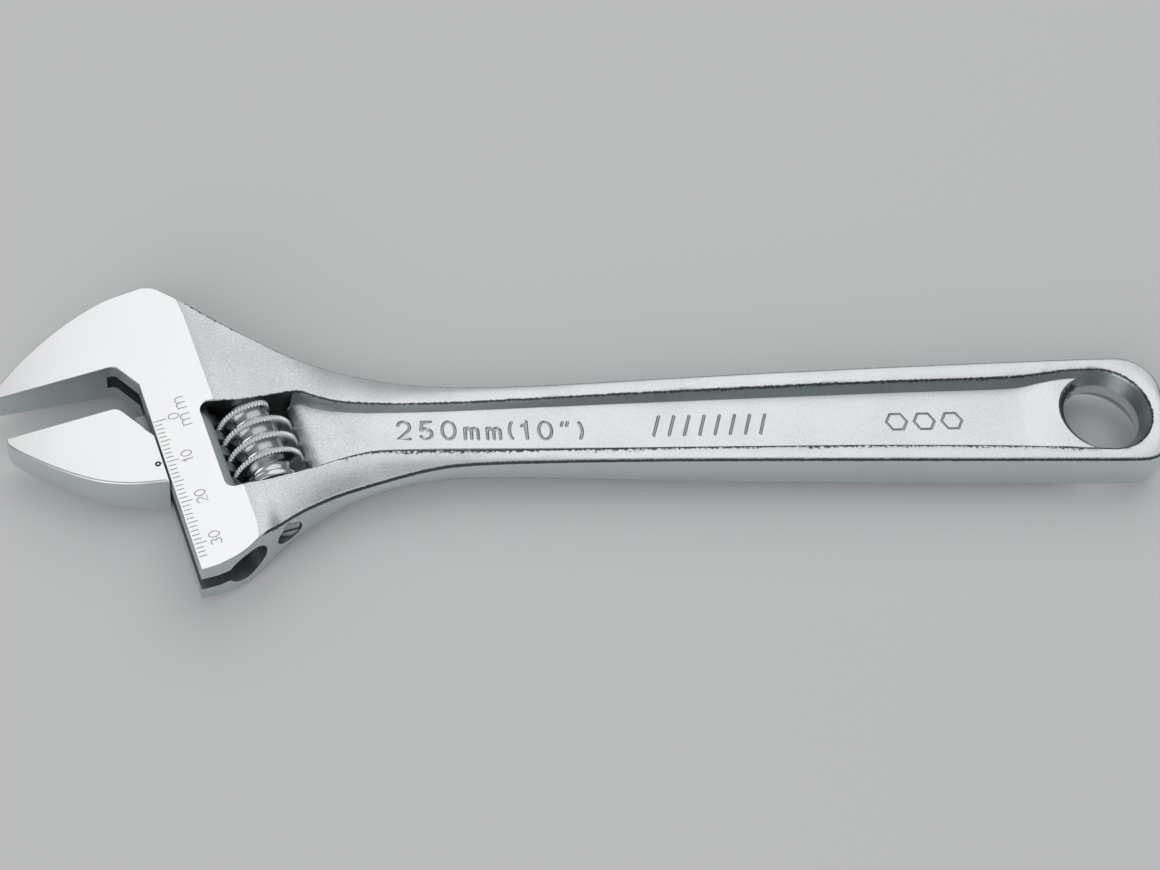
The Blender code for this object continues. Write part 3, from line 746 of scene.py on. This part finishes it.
points, faces, kinds = two_faced(
    OUTLINE,
    forging_height,
    edge_radius,
    side_bulge,
    lines=[
        (OPENING, True),
        (roll_start, True),
        (wall_foot[wall_foot[:, 1] > 0], False),
        (wall_foot[wall_foot[:, 1] < 0], False),
        (wall_head, False),
        (window_side, False),
        (ground_line, False),
        *[(ring, True) for ring in hole_rings],
    ],
    loose=[lattice],
    marks=scale + stamps,
    removed=cut_away,
    inner_rings=window_rings,
)
middles = np.array([points[list(face)].mean(axis=0) for face in faces])
upper = middles[:, 2] > 0
middles = middles[:, :2]
kinds = np.array(kinds)
in_opening = inside(middles, OPENING)
on_wall = in_opening & (distance_to(middles, OPENING) < WALL_DRAFT)
on_cone = in_opening & (from_hole(middles) < CONE_RIM_RADIUS)
regions = [
    # The side walls take the flank's painted shade colour
    (kinds == SIDE, SHADED_FLANK),
    ((kinds == BORED) & (head_d(middles) > WINDOW_RIGHT - 2.0), FORGED),
    # The window's walls take the painted shade colour
    (kinds == BORED, WINDOW_SHADE),
    (upper & (mark_depth(middles, scale) > 0), ENGRAVED),
    # The stamps, the panel's walls and the hole's cone take the recess's painted shade colour
    (upper & (mark_depth(middles, stamps) > 0), SHADED_RECESS),
    (on_wall | on_cone, SHADED_RECESS),
    ((ground_edge(middles) < 0) & ~in_opening, GROUND),
]
finishes = [FORGING_METALS.index(finish) for region, finish in regions]
metal = np.select([region for region, finish in regions], finishes, FORGING_METALS.index(FORGED))
body = mesh_object("forged_body", points, faces, FORGING_METALS, metal)

# How far each point lies in the painted shade line along the trimmed edges and creases, and in the coarser
# skin of the head
flat = points[:, :2]
fallen = np.maximum(forging_height(flat) - np.abs(points[:, 2]), 0)
SIDE_LINE_WIDTH = 0.6
EDGE_LINE_WIDTH = 0.4
RAGGED_LINE_WIDTH = 0.7  # of the painted shade line along the panel's lower rim
HOLE_LINE_RADIUS = 9.0
HOLE_LINE_WIDTH = 0.8
# Painted shade along the outline, heavier on the upper face's lower edge, which is turned from the light
side_shade = np.clip(1 - distance_to(flat, OUTLINE) / SIDE_LINE_WIDTH, 0, 1)
side_shade *= np.clip(1.35 - fallen * 1.8, 0, 1)
side_shade *= np.where(points[:, 2] > 0, np.where(flat[:, 1] > 0, 1.15, 1.5), 0.8)
along_foot = (flat[:, 1] < 0) & (flat[:, 0] > 42.0) & (flat[:, 0] < 200.0)
edge_width = np.where(along_foot & ~inside(flat, OPENING), RAGGED_LINE_WIDTH, EDGE_LINE_WIDTH)
# Painted shade along the opening's rim, and in the crease round the hanging hole on the side where the panel
# rolls into it
rim_shade = np.clip(1.3 - distance_to(flat, OPENING) / edge_width, 0, 1)
to_hole = from_hole(flat)
hole_shade = np.clip(1.3 - np.abs(to_hole - HOLE_LINE_RADIUS) / HOLE_LINE_WIDTH, 0, 1)
hole_shade *= ease(0.2, 0.6, (HOLE_X - flat[:, 0]) / to_hole)
crease = np.maximum.reduce([side_shade, rim_shade, hole_shade]) * ease(0.0, 2.0, ground_edge(flat))


def mark_points(piece, name, values):
    """Gives each point of a piece a value that its material reads."""
    attribute = piece.data.attributes.new(name, "FLOAT", "POINT")
    attribute.data.foreach_set("value", np.asarray(values, np.float32))


# The painted shade line's strength, read by the satin chrome
mark_points(body, "crease", crease)
mark_points(body, "coarse", 1 - ease(32.0, 55.0, points[:, 0]))

# Machined cuts
SLOT_HALF_WIDTH = 2.0
SLOT_BACK = -5.2
SLOT_TOP = -2.6
BORE_D = 10.0
BORE_RADIUS = 4.5
AXLE = Vector(joints["worm_turn"]["pos_m"])
WORM_D = (AXLE - Vector(place((*head_point(0.0, 0.0), 0.0)))).dot(ALONG) / MM
PIN_HOLE_RADIUS = 2.85
PIN_SEAT_RADIUS = 2.3
PIN_SEAT_TOP = 9.95
IN_WINDOW = 30  # an e inside the window, where the pin's seat and hole both end
NICK_SHIFT = (-0.5, 0.0, 3.0)  # from the pin's axis
FAR = 80.0  # an e past the foot of the head, where cutters end


def slide_frame(d, e):
    """A place in the head with Z along the slide, X along the jaws and Y up."""
    turn = Matrix((ALONG, Vector((0.0, 0.0, 1.0)), OPENS)).transposed().to_4x4()
    return Matrix.Translation(Vector(place((*head_point(d, e), 0.0)))) @ turn


def turned_rings(profile, sides):
    """Points of the rings that a profile of (radius, e) sweeps out."""
    angles = np.arange(sides) * math.tau / sides
    circle = np.column_stack([np.cos(angles), np.sin(angles), 0 * angles])
    return np.vstack([circle * r + (0.0, 0.0, e) for r, e in profile])


def weld(mesh, distance):
    """Joins points that fall together and turns every face outwards."""
    whole = bmesh.new()
    whole.from_mesh(mesh)
    bmesh.ops.remove_doubles(whole, verts=whole.verts, dist=distance)
    bmesh.ops.dissolve_degenerate(whole, edges=whole.edges, dist=distance)
    bmesh.ops.recalc_face_normals(whole, faces=whole.faces)
    whole.to_mesh(mesh)
    whole.free()


def turned(name, d, profile, sides, material, sharp=35):
    """A turned solid about an axis along the slide, from its closed profile of (radius, e)."""
    local = turned_rings(profile, sides) * MM
    count = len(profile)
    faces = []
    for k in range(count):
        for s in range(sides):
            t = (s + 1) % sides
            n = (k + 1) % count
            faces.append((k * sides + s, k * sides + t, n * sides + t, n * sides + s))
    mesh = bpy.data.meshes.new(name)
    mesh.from_pydata([tuple(p) for p in local], [], faces)
    mesh.materials.append(material)
    weld(mesh, 1e-7)
    mesh.transform(slide_frame(d, 0.0))
    mesh.shade_smooth()
    mesh.set_sharp_from_angle(angle=math.radians(sharp))
    return add(name, mesh)


def prism(name, outline, low, high, material):
    """A closed solid over an outline, between two heights or two height functions."""
    flat = turned_left(np.array(outline, float))
    count = len(flat)
    levels = [f(flat) if callable(f) else np.full(count, f) for f in (low, high)]
    points = np.vstack([np.column_stack([flat, z]) for z in levels])
    faces = [tuple(range(count))[::-1], tuple(range(count, 2 * count))]
    faces += [(k, (k + 1) % count, count + (k + 1) % count, count + k) for k in range(count)]
    return mesh_object(name, points, faces, [material])


def settle(piece, sharp=32):
    """Applies the piece's modifiers and shades it, flat faces flat."""
    weighted = piece.modifiers.new("weighted", "WEIGHTED_NORMAL")
    weighted.keep_sharp = True
    weighted.weight = 80
    weighted.show_viewport = False
    graph = bpy.context.evaluated_depsgraph_get()
    mesh = bpy.data.meshes.new_from_object(piece.evaluated_get(graph), depsgraph=graph)
    for modifier in list(piece.modifiers):
        if modifier.type == "BOOLEAN":
            piece.modifiers.remove(modifier)
    piece.data = mesh
    sharpen(mesh, sharp)
    weighted.show_viewport = True
    return piece


def boolean(piece, other, operation="DIFFERENCE"):
    """Cuts, joins or intersects with an object or a collection; the new faces keep the other's material."""
    change = piece.modifiers.new("boolean", "BOOLEAN")
    change.operation = operation
    change.solver = "EXACT"
    change.material_mode = "TRANSFER"
    if isinstance(other, bpy.types.Collection):
        change.operand_type = "COLLECTION"
        change.collection = other
    else:
        change.object = other


def machine(piece, name, cutters):
    """Cuts a group of shapes out of the piece at once, then clears the shapes away."""
    group = bpy.data.collections.new(name)
    bpy.context.scene.collection.children.link(group)
    for cutter in cutters:
        for home in list(cutter.users_collection):
            home.objects.unlink(cutter)
        group.objects.link(cutter)
    boolean(piece, group)
    settle(piece)
    for cutter in cutters:
        bpy.data.objects.remove(cutter)
    bpy.data.collections.remove(group)


def bore(name, d, radius, start, end, sides):
    return turned(name, d, [(0, start), (radius, start), (radius, end), (0, end)], sides, BROACHED)


slot_corners = [
    head_point(*p) for p in ((SLOT_BACK, SLOT_TOP), (BORE_D, SLOT_TOP), (BORE_D, FAR), (SLOT_BACK, FAR))
]
# The nick takes the same painted shade colour as the window's walls
nick = turned("nick", WORM_D, [(0, 44.0), (0.5, 44.0), (1.1, 46.5), (1.1, FAR), (0, FAR)], 24, WINDOW_SHADE)
nick.data.transform(Matrix.Translation(Vector(NICK_SHIFT) * MM))
machine(body, "slide_cuts", [
    nick,
    prism("jaw_slot", slot_corners, -SLOT_HALF_WIDTH, SLOT_HALF_WIDTH, BROACHED),
    bore("slide_bore", BORE_D, BORE_RADIUS, -6.0, FAR, 96),
    bore("pin_seat", WORM_D, PIN_SEAT_RADIUS, PIN_SEAT_TOP, IN_WINDOW, 48),
    bore("pin_hole", WORM_D, PIN_HOLE_RADIUS, IN_WINDOW, FAR, 64),
])

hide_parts("body")
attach(body, "forging")

# ---------------------------------------------------------------- movable jaw
# A second forging: the nose with its polished faces, a thin web that runs in the head's slot and a round
# shank with rack teeth milled into it. It slides in from the foot of the head and the worm holds it.

OPENING_MM = 10.0
SLIDE_GAP = 0.25
NOSE_EDGE = -SLIDE_GAP
SHANK_RADIUS = BORE_RADIUS - SLIDE_GAP
POLISHED = ground_chrome("polished_jaw")
BELLY = satin_chrome("jaw_side", (0.72, 0.76, 0.77, 1.0), (0.64, 0.68, 0.69, 1.0), 0.02)
PUNCHED = machined_steel("punched_mark", (0.10, 0.11, 0.12, 1.0), (0.06, 0.07, 0.08, 1.0), 0.5)
RACK = machined_steel("rack_steel", (0.30, 0.33, 0.34, 1.0), (0.20, 0.23, 0.24, 1.0), 0.25)

nose_face = head_point(-JAW_LENGTH, OPENING_MM)
nose_slope = head_point(-2.1, OPENING_MM + 4.9)
belly = [
    head_point(*p) for p in (
        (NOSE_EDGE, 30.3), (-5.9, 29.0), (-9.6, 27.7), (-13.2, 25.9), (-16.6, 23.5), (-19.9, 20.7),
        (-23.1, 17.6), (-26.3, 14.2), (-27.7, 12.3), (-JAW_LENGTH, 11.3),
    )
]
NOSE = np.vstack([
    stretch([head_point(NOSE_EDGE, OPENING_MM + 9.0), nose_slope], STEP, smooth=False),
    fillet(nose_slope, head_point(-5.6, OPENING_MM), nose_face, 2.2, 0.5),
    stretch([head_point(-9.0, OPENING_MM), nose_face], STEP, smooth=False),
    stretch([nose_face, belly[-1]], 0.4, smooth=False),
    stretch(belly[::-1], STEP),
    stretch([belly[0], head_point(NOSE_EDGE, OPENING_MM + 9.0)], STEP, smooth=False),
])


def nose_edge_radius(points):
    """Sharp along the jaw face, broken along the belly."""
    below = head_e(points) - OPENING_MM
    return 0.16 + 0.34 * ease(0.6, 3.0, below) * ease(0.3, 1.2, -head_d(points))


# Index mark: a punched dot with a short line to the slot's edge
INDEX_E = 25.7
index_line = np.array([head_point(-0.8, INDEX_E), head_point(-0.5, INDEX_E)])
index_mark = [
    (np.array(bow(head_point(-1.35, INDEX_E), (0.42, 0.42), 0, 345, 24)), True, 0.2, 0.15),
    (index_line, False, 0.08, LINE_DEPTH),
]
points, faces, kinds = two_faced(
    NOSE,
    ground_face,
    nose_edge_radius,
    lambda p: 0.25 * ease(3.0, 8.0, head_e(p) - OPENING_MM) * ease(0.3, 1.2, -head_d(p)),
    loose=[lattice_over(NOSE, 1.2)],
    marks=index_mark,
)
middles = np.array([points[list(face)].mean(axis=0) for face in faces])
dotted = (middles[:, 2] > 0) & (mark_depth(middles[:, :2], index_mark) > 0)
metal = np.where(dotted, 3, np.minimum(kinds, 1))
jaw = mesh_object("movable_jaw_forging", points, faces, [POLISHED, BELLY, RACK, PUNCHED], metal)
WEB_TOP = OPENING_MM + 1.2
WEB_FOOT = OPENING_MM + 19.4
WEB_BACK = -3.75
web_corners = [
    head_point(*p) for p in (
        (WEB_BACK, WEB_TOP + 3.2), (-2.05, WEB_TOP), (BORE_D, WEB_TOP), (BORE_D, WEB_FOOT),
        (WEB_BACK, WEB_FOOT - 2.0),
    )
]
WEB_HALF_WIDTH = SLOT_HALF_WIDTH - SLIDE_GAP
web = prism("jaw_web", web_corners, -WEB_HALF_WIDTH, WEB_HALF_WIDTH, RACK)
SHANK_TOP = OPENING_MM - 3.0
SHANK_FOOT = OPENING_MM + 27.0
BREAK = 0.35  # broken edges of the shank
shank_profile = [
    (0, SHANK_TOP), (SHANK_RADIUS - BREAK, SHANK_TOP), (SHANK_RADIUS, SHANK_TOP + BREAK),
    (SHANK_RADIUS, SHANK_FOOT - BREAK), (SHANK_RADIUS - BREAK, SHANK_FOOT), (0, SHANK_FOOT),
]
shank = turned("jaw_shank", BORE_D, shank_profile, 96, RACK)
boolean(jaw, web, "UNION")
boolean(jaw, shank, "UNION")

PITCH = 4.0
WORM_RADIUS = 7.8
WORM_CORE = 4.8
THREAD_CREST = 1.2
THREAD_ROOT = 2.0
MESH_GAP = 0.25
CORE_GAP = 0.85
THREAD_START = 17.397  # middle of the thread's first profile
FIRST_GROOVE = THREAD_START + PITCH / 2
LEAN = math.atan(PITCH / (math.tau * (WORM_CORE + CORE_GAP + WORM_RADIUS) / 2))
groove_floor_d = WORM_D - WORM_RADIUS - MESH_GAP
groove_mouth_d = WORM_D - WORM_CORE
rack_grooves = []
for number in range(-3, 5):
    middle = FIRST_GROOVE + PITCH * number
    floor, mouth = THREAD_CREST / 2 + MESH_GAP, THREAD_ROOT / 2 + MESH_GAP
    corners = [
        head_point(*p) for p in (
            (groove_floor_d, middle - floor), (groove_mouth_d, middle - mouth),
            (groove_mouth_d, middle + mouth), (groove_floor_d, middle + floor),
        )
    ]
    cutter = prism("rack_groove", corners, -6.0, 6.0, RACK)
    pivot = Vector(place((*head_point(groove_floor_d, middle), 0.0)))
    lean = Matrix.Translation(pivot) @ Matrix.Rotation(-LEAN, 4, ALONG) @ Matrix.Translation(-pivot)
    cutter.data.transform(lean)
    rack_grooves.append(cutter)
machine(jaw, "rack", rack_grooves)

for joined in (web, shank):
    bpy.data.objects.remove(joined)
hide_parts("movable_jaw")
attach(jaw, "jaw")

# ---------------------------------------------------------------- adjusting worm
# Turned from bar: a right-hand worm with a rounded valley and a milled crest for the thumb, and a smooth
# collar below it. Bored through for its pin, with a pocket for the spring in its upper end.

CREST_TEETH = 62  # in one turn
SAMPLES = 6 * CREST_TEETH  # in one turn
THREAD_TURNS = 3.7
WORM_TOP = 15.879
WORM_END = 34.997
COLLAR_TOP = WORM_END - 1.8
COLLAR_RADIUS = 5.6
PIN_RADIUS = 2.0
WORM_BORE = 2.15
POCKET_RADIUS = 3.1
POCKET_DEPTH = 5.0
POCKET_FLOOR = WORM_TOP + POCKET_DEPTH
FADE = math.radians(50.0)
CREST_CUT = 0.42
CREST_HALF_WIDTH = 0.66

# Half of the thread's profile: place across the pitch and radius, from the crest to the valley's middle
HALF_PROFILE = [
    (0.0, WORM_RADIUS), (0.3, WORM_RADIUS), (0.48, 7.74), (0.60, 7.45), (0.70, 6.95), (0.82, 6.35),
    (0.97, 5.75), (1.17, 5.25), (1.42, 4.95), (1.70, 4.83), (PITCH / 2, WORM_CORE),
]
profile = [(-t, r) for t, r in HALF_PROFILE[:0:-1]] + HALF_PROFILE
across = np.array([t for t, r in profile])
radius_at = np.array([r for t, r in profile])

steps = np.arange(-SAMPLES, int((THREAD_TURNS + 1) * SAMPLES) + 1)
turn = steps * math.tau / SAMPLES
last_turn = THREAD_TURNS * math.tau
full = ease(0.6 * FADE, 1.5 * FADE, turn) * (1 - ease(last_turn - FADE, last_turn, turn))
tooth = (0.5 - 0.5 * np.cos(turn * CREST_TEETH)) ** 1.6
on_crest = np.clip((CREST_HALF_WIDTH - np.abs(across)) / 0.2, 0, 1)
radii = radius_at[None, :] - CREST_CUT * tooth[:, None] * on_crest[None, :]
radii = WORM_CORE + (radii - WORM_CORE) * full[:, None]
heights = THREAD_START + PITCH * turn[:, None] / math.tau + across[None, :]
clamped = (heights <= WORM_TOP) | (heights >= COLLAR_TOP)
heights = np.clip(heights, WORM_TOP, COLLAR_TOP)
radii[clamped] = WORM_CORE
cos, sin = np.cos(turn)[:, None], np.sin(turn)[:, None]
spots = np.stack([radii * cos, radii * sin, heights], axis=2).reshape(-1, 3)
width = len(across)
faces, knurled = [], []
for s in range(len(steps) - 1):
    for k in range(width - 1):
        a = s * width + k
        faces.append((a, a + width, a + width + 1, a + 1))
        knurled.append(int(max(abs(across[k]), abs(across[k + 1])) < CREST_HALF_WIDTH and full[s] > 0.3))
end_profile = [
    (WORM_CORE, COLLAR_TOP), (5.25, COLLAR_TOP + 0.04), (5.5, COLLAR_TOP + 0.18),
    (COLLAR_RADIUS, COLLAR_TOP + 0.45), (COLLAR_RADIUS, WORM_END - 0.4), (5.45, WORM_END - 0.12),
    (5.15, WORM_END), (WORM_BORE, WORM_END), (WORM_BORE, POCKET_FLOOR), (POCKET_RADIUS, POCKET_FLOOR),
    (POCKET_RADIUS, WORM_TOP), (WORM_CORE, WORM_TOP),
]
base = len(spots)
spots = np.vstack([spots, turned_rings(end_profile, SAMPLES)])
for k in range(len(end_profile) - 1):
    for s in range(SAMPLES):
        t = (s + 1) % SAMPLES
        a, b = base + k * SAMPLES, base + (k + 1) * SAMPLES
        faces.append((a + s, a + t, b + t, b + s))
        knurled.append(0)


def worm_steel(name, light, dark, roughness):
    """Bright turned steel with faint tool lines and a thin film of oil."""
    material, space, shader = finish_of(name)
    lines = space.noise(900.0, 3.0)
    film = space.noise(150.0, 3.0)
    wear(
        shader,
        Base_Color=film.between(dark, light),
        Roughness=roughness + lines * 0.12,
        Normal=relief(space, lines, 0.012),
    )
    return material


mesh = bpy.data.meshes.new("adjusting_worm_screw")
mesh.from_pydata([tuple(p) for p in spots * MM], [], faces)
mesh.materials.append(worm_steel("worm_steel", (0.80, 0.82, 0.83, 1.0), (0.62, 0.65, 0.66, 1.0), 0.10))
mesh.materials.append(worm_steel("knurled_crest", (0.96, 0.97, 0.97, 1.0), (0.88, 0.89, 0.90, 1.0), 0.30))
mesh.polygons.foreach_set("material_index", np.array(knurled, np.int32))
weld(mesh, 2e-7)
mesh.transform(slide_frame(WORM_D, 0.0))
mesh.shade_smooth()
mesh.set_sharp_from_angle(angle=math.radians(50))
worm = add("adjusting_worm_screw", mesh)
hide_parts("adjusting_worm")
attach(worm, "worm")

# ---------------------------------------------------------------- worm spring
# Drawn wire, wound as a compression spring, slipped into the worm's pocket before the pin goes in. It
# presses the worm against the foot of the window and takes up its play.

SPRING_WIRE = 0.5
SPRING_TURNS = 5
COIL_STEPS = 28
COIL_RADIUS = 2.55
END_GAP = 0.3
coil_height = POCKET_DEPTH - 1.5 * SPRING_WIRE - END_GAP
coil = bpy.data.curves.new("compression_spring", "CURVE")
coil.dimensions = "3D"
coil.bevel_depth = SPRING_WIRE / 2 * MM
coil.bevel_resolution = 3
coil.use_fill_caps = True
wire = coil.splines.new("POLY")
wire.points.add(SPRING_TURNS * COIL_STEPS)
to_frame = slide_frame(WORM_D, WORM_TOP + 0.75 * SPRING_WIRE)
for step, point in enumerate(wire.points):
    share = step / (SPRING_TURNS * COIL_STEPS)
    angle = math.tau * SPRING_TURNS * share
    local = Vector((COIL_RADIUS * math.cos(angle), COIL_RADIUS * math.sin(angle), coil_height * share)) * MM
    point.co = (*(to_frame @ local), 1.0)
spring = add("compression_spring", coil)
coil.materials.append(machined_steel("spring_wire", (0.50, 0.51, 0.52, 1.0), (0.38, 0.39, 0.40, 1.0), 0.25))
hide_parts("worm_spring")
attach(spring, "forging")

# ---------------------------------------------------------------- worm pin
# The worm's axle: a turned pin with a slotted head. It goes in through the lower flank, crosses the window
# and ends in a blind hole above it, and a punch nick at the hole's edge keeps it from backing out.

PIN_TOP = 10.25
PIN_FOOT = 44.9
PIN_HEAD_TOP = 35.597
PIN_HEAD_RADIUS = 2.55
pin_profile = [
    (0, PIN_TOP), (PIN_RADIUS - 0.4, PIN_TOP), (PIN_RADIUS, PIN_TOP + 0.5), (PIN_RADIUS, PIN_HEAD_TOP),
    (PIN_HEAD_RADIUS - 0.2, PIN_HEAD_TOP), (PIN_HEAD_RADIUS, PIN_HEAD_TOP + 0.2),
    (PIN_HEAD_RADIUS, PIN_FOOT - 0.5), (PIN_HEAD_RADIUS - 0.45, PIN_FOOT - 0.05), (1.5, PIN_FOOT),
    (0, PIN_FOOT),
]
PIN_STEEL = machined_steel("pin_steel", (0.50, 0.53, 0.54, 1.0), (0.34, 0.37, 0.38, 1.0), 0.30)
pin = turned("worm_axle_pin", WORM_D, pin_profile, 64, PIN_STEEL)
driver_corners = [
    head_point(WORM_D + side * 4.0, PIN_FOOT + drop)
    for side, drop in ((-1, -0.9), (1, -0.9), (1, 1.0), (-1, 1.0))
]
machine(pin, "driver_slot", [prism("driver_slot", driver_corners, -0.4, 0.4, BROACHED)])
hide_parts("worm_pin")
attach(pin, "forging")

# ---------------------------------------------------------------- floor, light and camera
# A pale matt floor under the wrench, a large soft light over its far side, a second in front, and a plain
# sky that is brighter overhead than at the horizon.

FLOOR_HALF = 3.0  # metres
floor_mesh = bpy.data.meshes.new("floor")
square = ((-1, -1), (1, -1), (1, 1), (-1, 1))
floor_corners = [(x * FLOOR_HALF, y * FLOOR_HALF, cad_box[0][2]) for x, y in square]
floor_mesh.from_pydata(floor_corners, [], [(0, 1, 2, 3)])
floor = add("floor", floor_mesh)
paper = bpy.data.materials.new("pale_paper")
paper.use_nodes = True
paper.node_tree.nodes["Principled BSDF"].inputs["Base Color"].default_value = (0.86, 0.87, 0.88, 1.0)
paper.node_tree.nodes["Principled BSDF"].inputs["Roughness"].default_value = 0.9
floor_mesh.materials.append(paper)

world = bpy.data.worlds.new("studio")
world.use_nodes = True
bpy.context.scene.world = world
sky = Wire(world.node_tree).node("ShaderNodeTexCoord", {}, {}, output="Generated")
height = sky.node("ShaderNodeSeparateXYZ", {}, {"Vector": sky}, output="Z")
glow = height.ramp((0.0, 0.24), (0.35, 0.28), (0.7, 0.40), (1.0, 0.50))
background = world.node_tree.nodes["Background"]
world.node_tree.links.new(glow.socket, background.inputs["Color"])
background.inputs["Strength"].default_value = 0.8

TARGET = ORIGIN + Vector((92.74 * MM, 0.0, 0.0))


def softbox(name, direction, distance, size, energy):
    """A square lamp that faces the wrench from a direction."""
    lamp = bpy.data.lights.new(name, "AREA")
    lamp.shape = "SQUARE"
    lamp.size = size
    lamp.energy = energy
    made = add(name, lamp)
    towards = Vector(direction).normalized()
    made.location = TARGET + towards * distance
    made.rotation_euler = towards.to_track_quat("Z", "Y").to_euler()


softbox("overhead", (0.17, 0.55, 0.82), 1.1, 1.15, 2.7)
softbox("front", (-0.5, -0.8, 0.6), 1.6, 1.2, 7.0)

LENS = 68.28
CAMERA_DISTANCE = 462.6 * MM
turn = Matrix.Rotation(-0.6, 3, "X") @ Matrix.Rotation(0.1296, 3, "Y") @ Matrix.Rotation(0.1121, 3, "Z")
camera_data = bpy.data.cameras.new("camera")
camera_data.lens = LENS
camera_data.sensor_width = 36.0
camera_data.clip_start = 0.01
camera = add("camera", camera_data)
back_off = Matrix.Translation((-0.3372 * MM, -0.8506 * MM, CAMERA_DISTANCE))
camera.matrix_world = Matrix.Translation(TARGET) @ turn.transposed().to_4x4() @ back_off
bpy.context.scene.camera = camera
bpy.context.scene.view_settings.view_transform = "Standard"
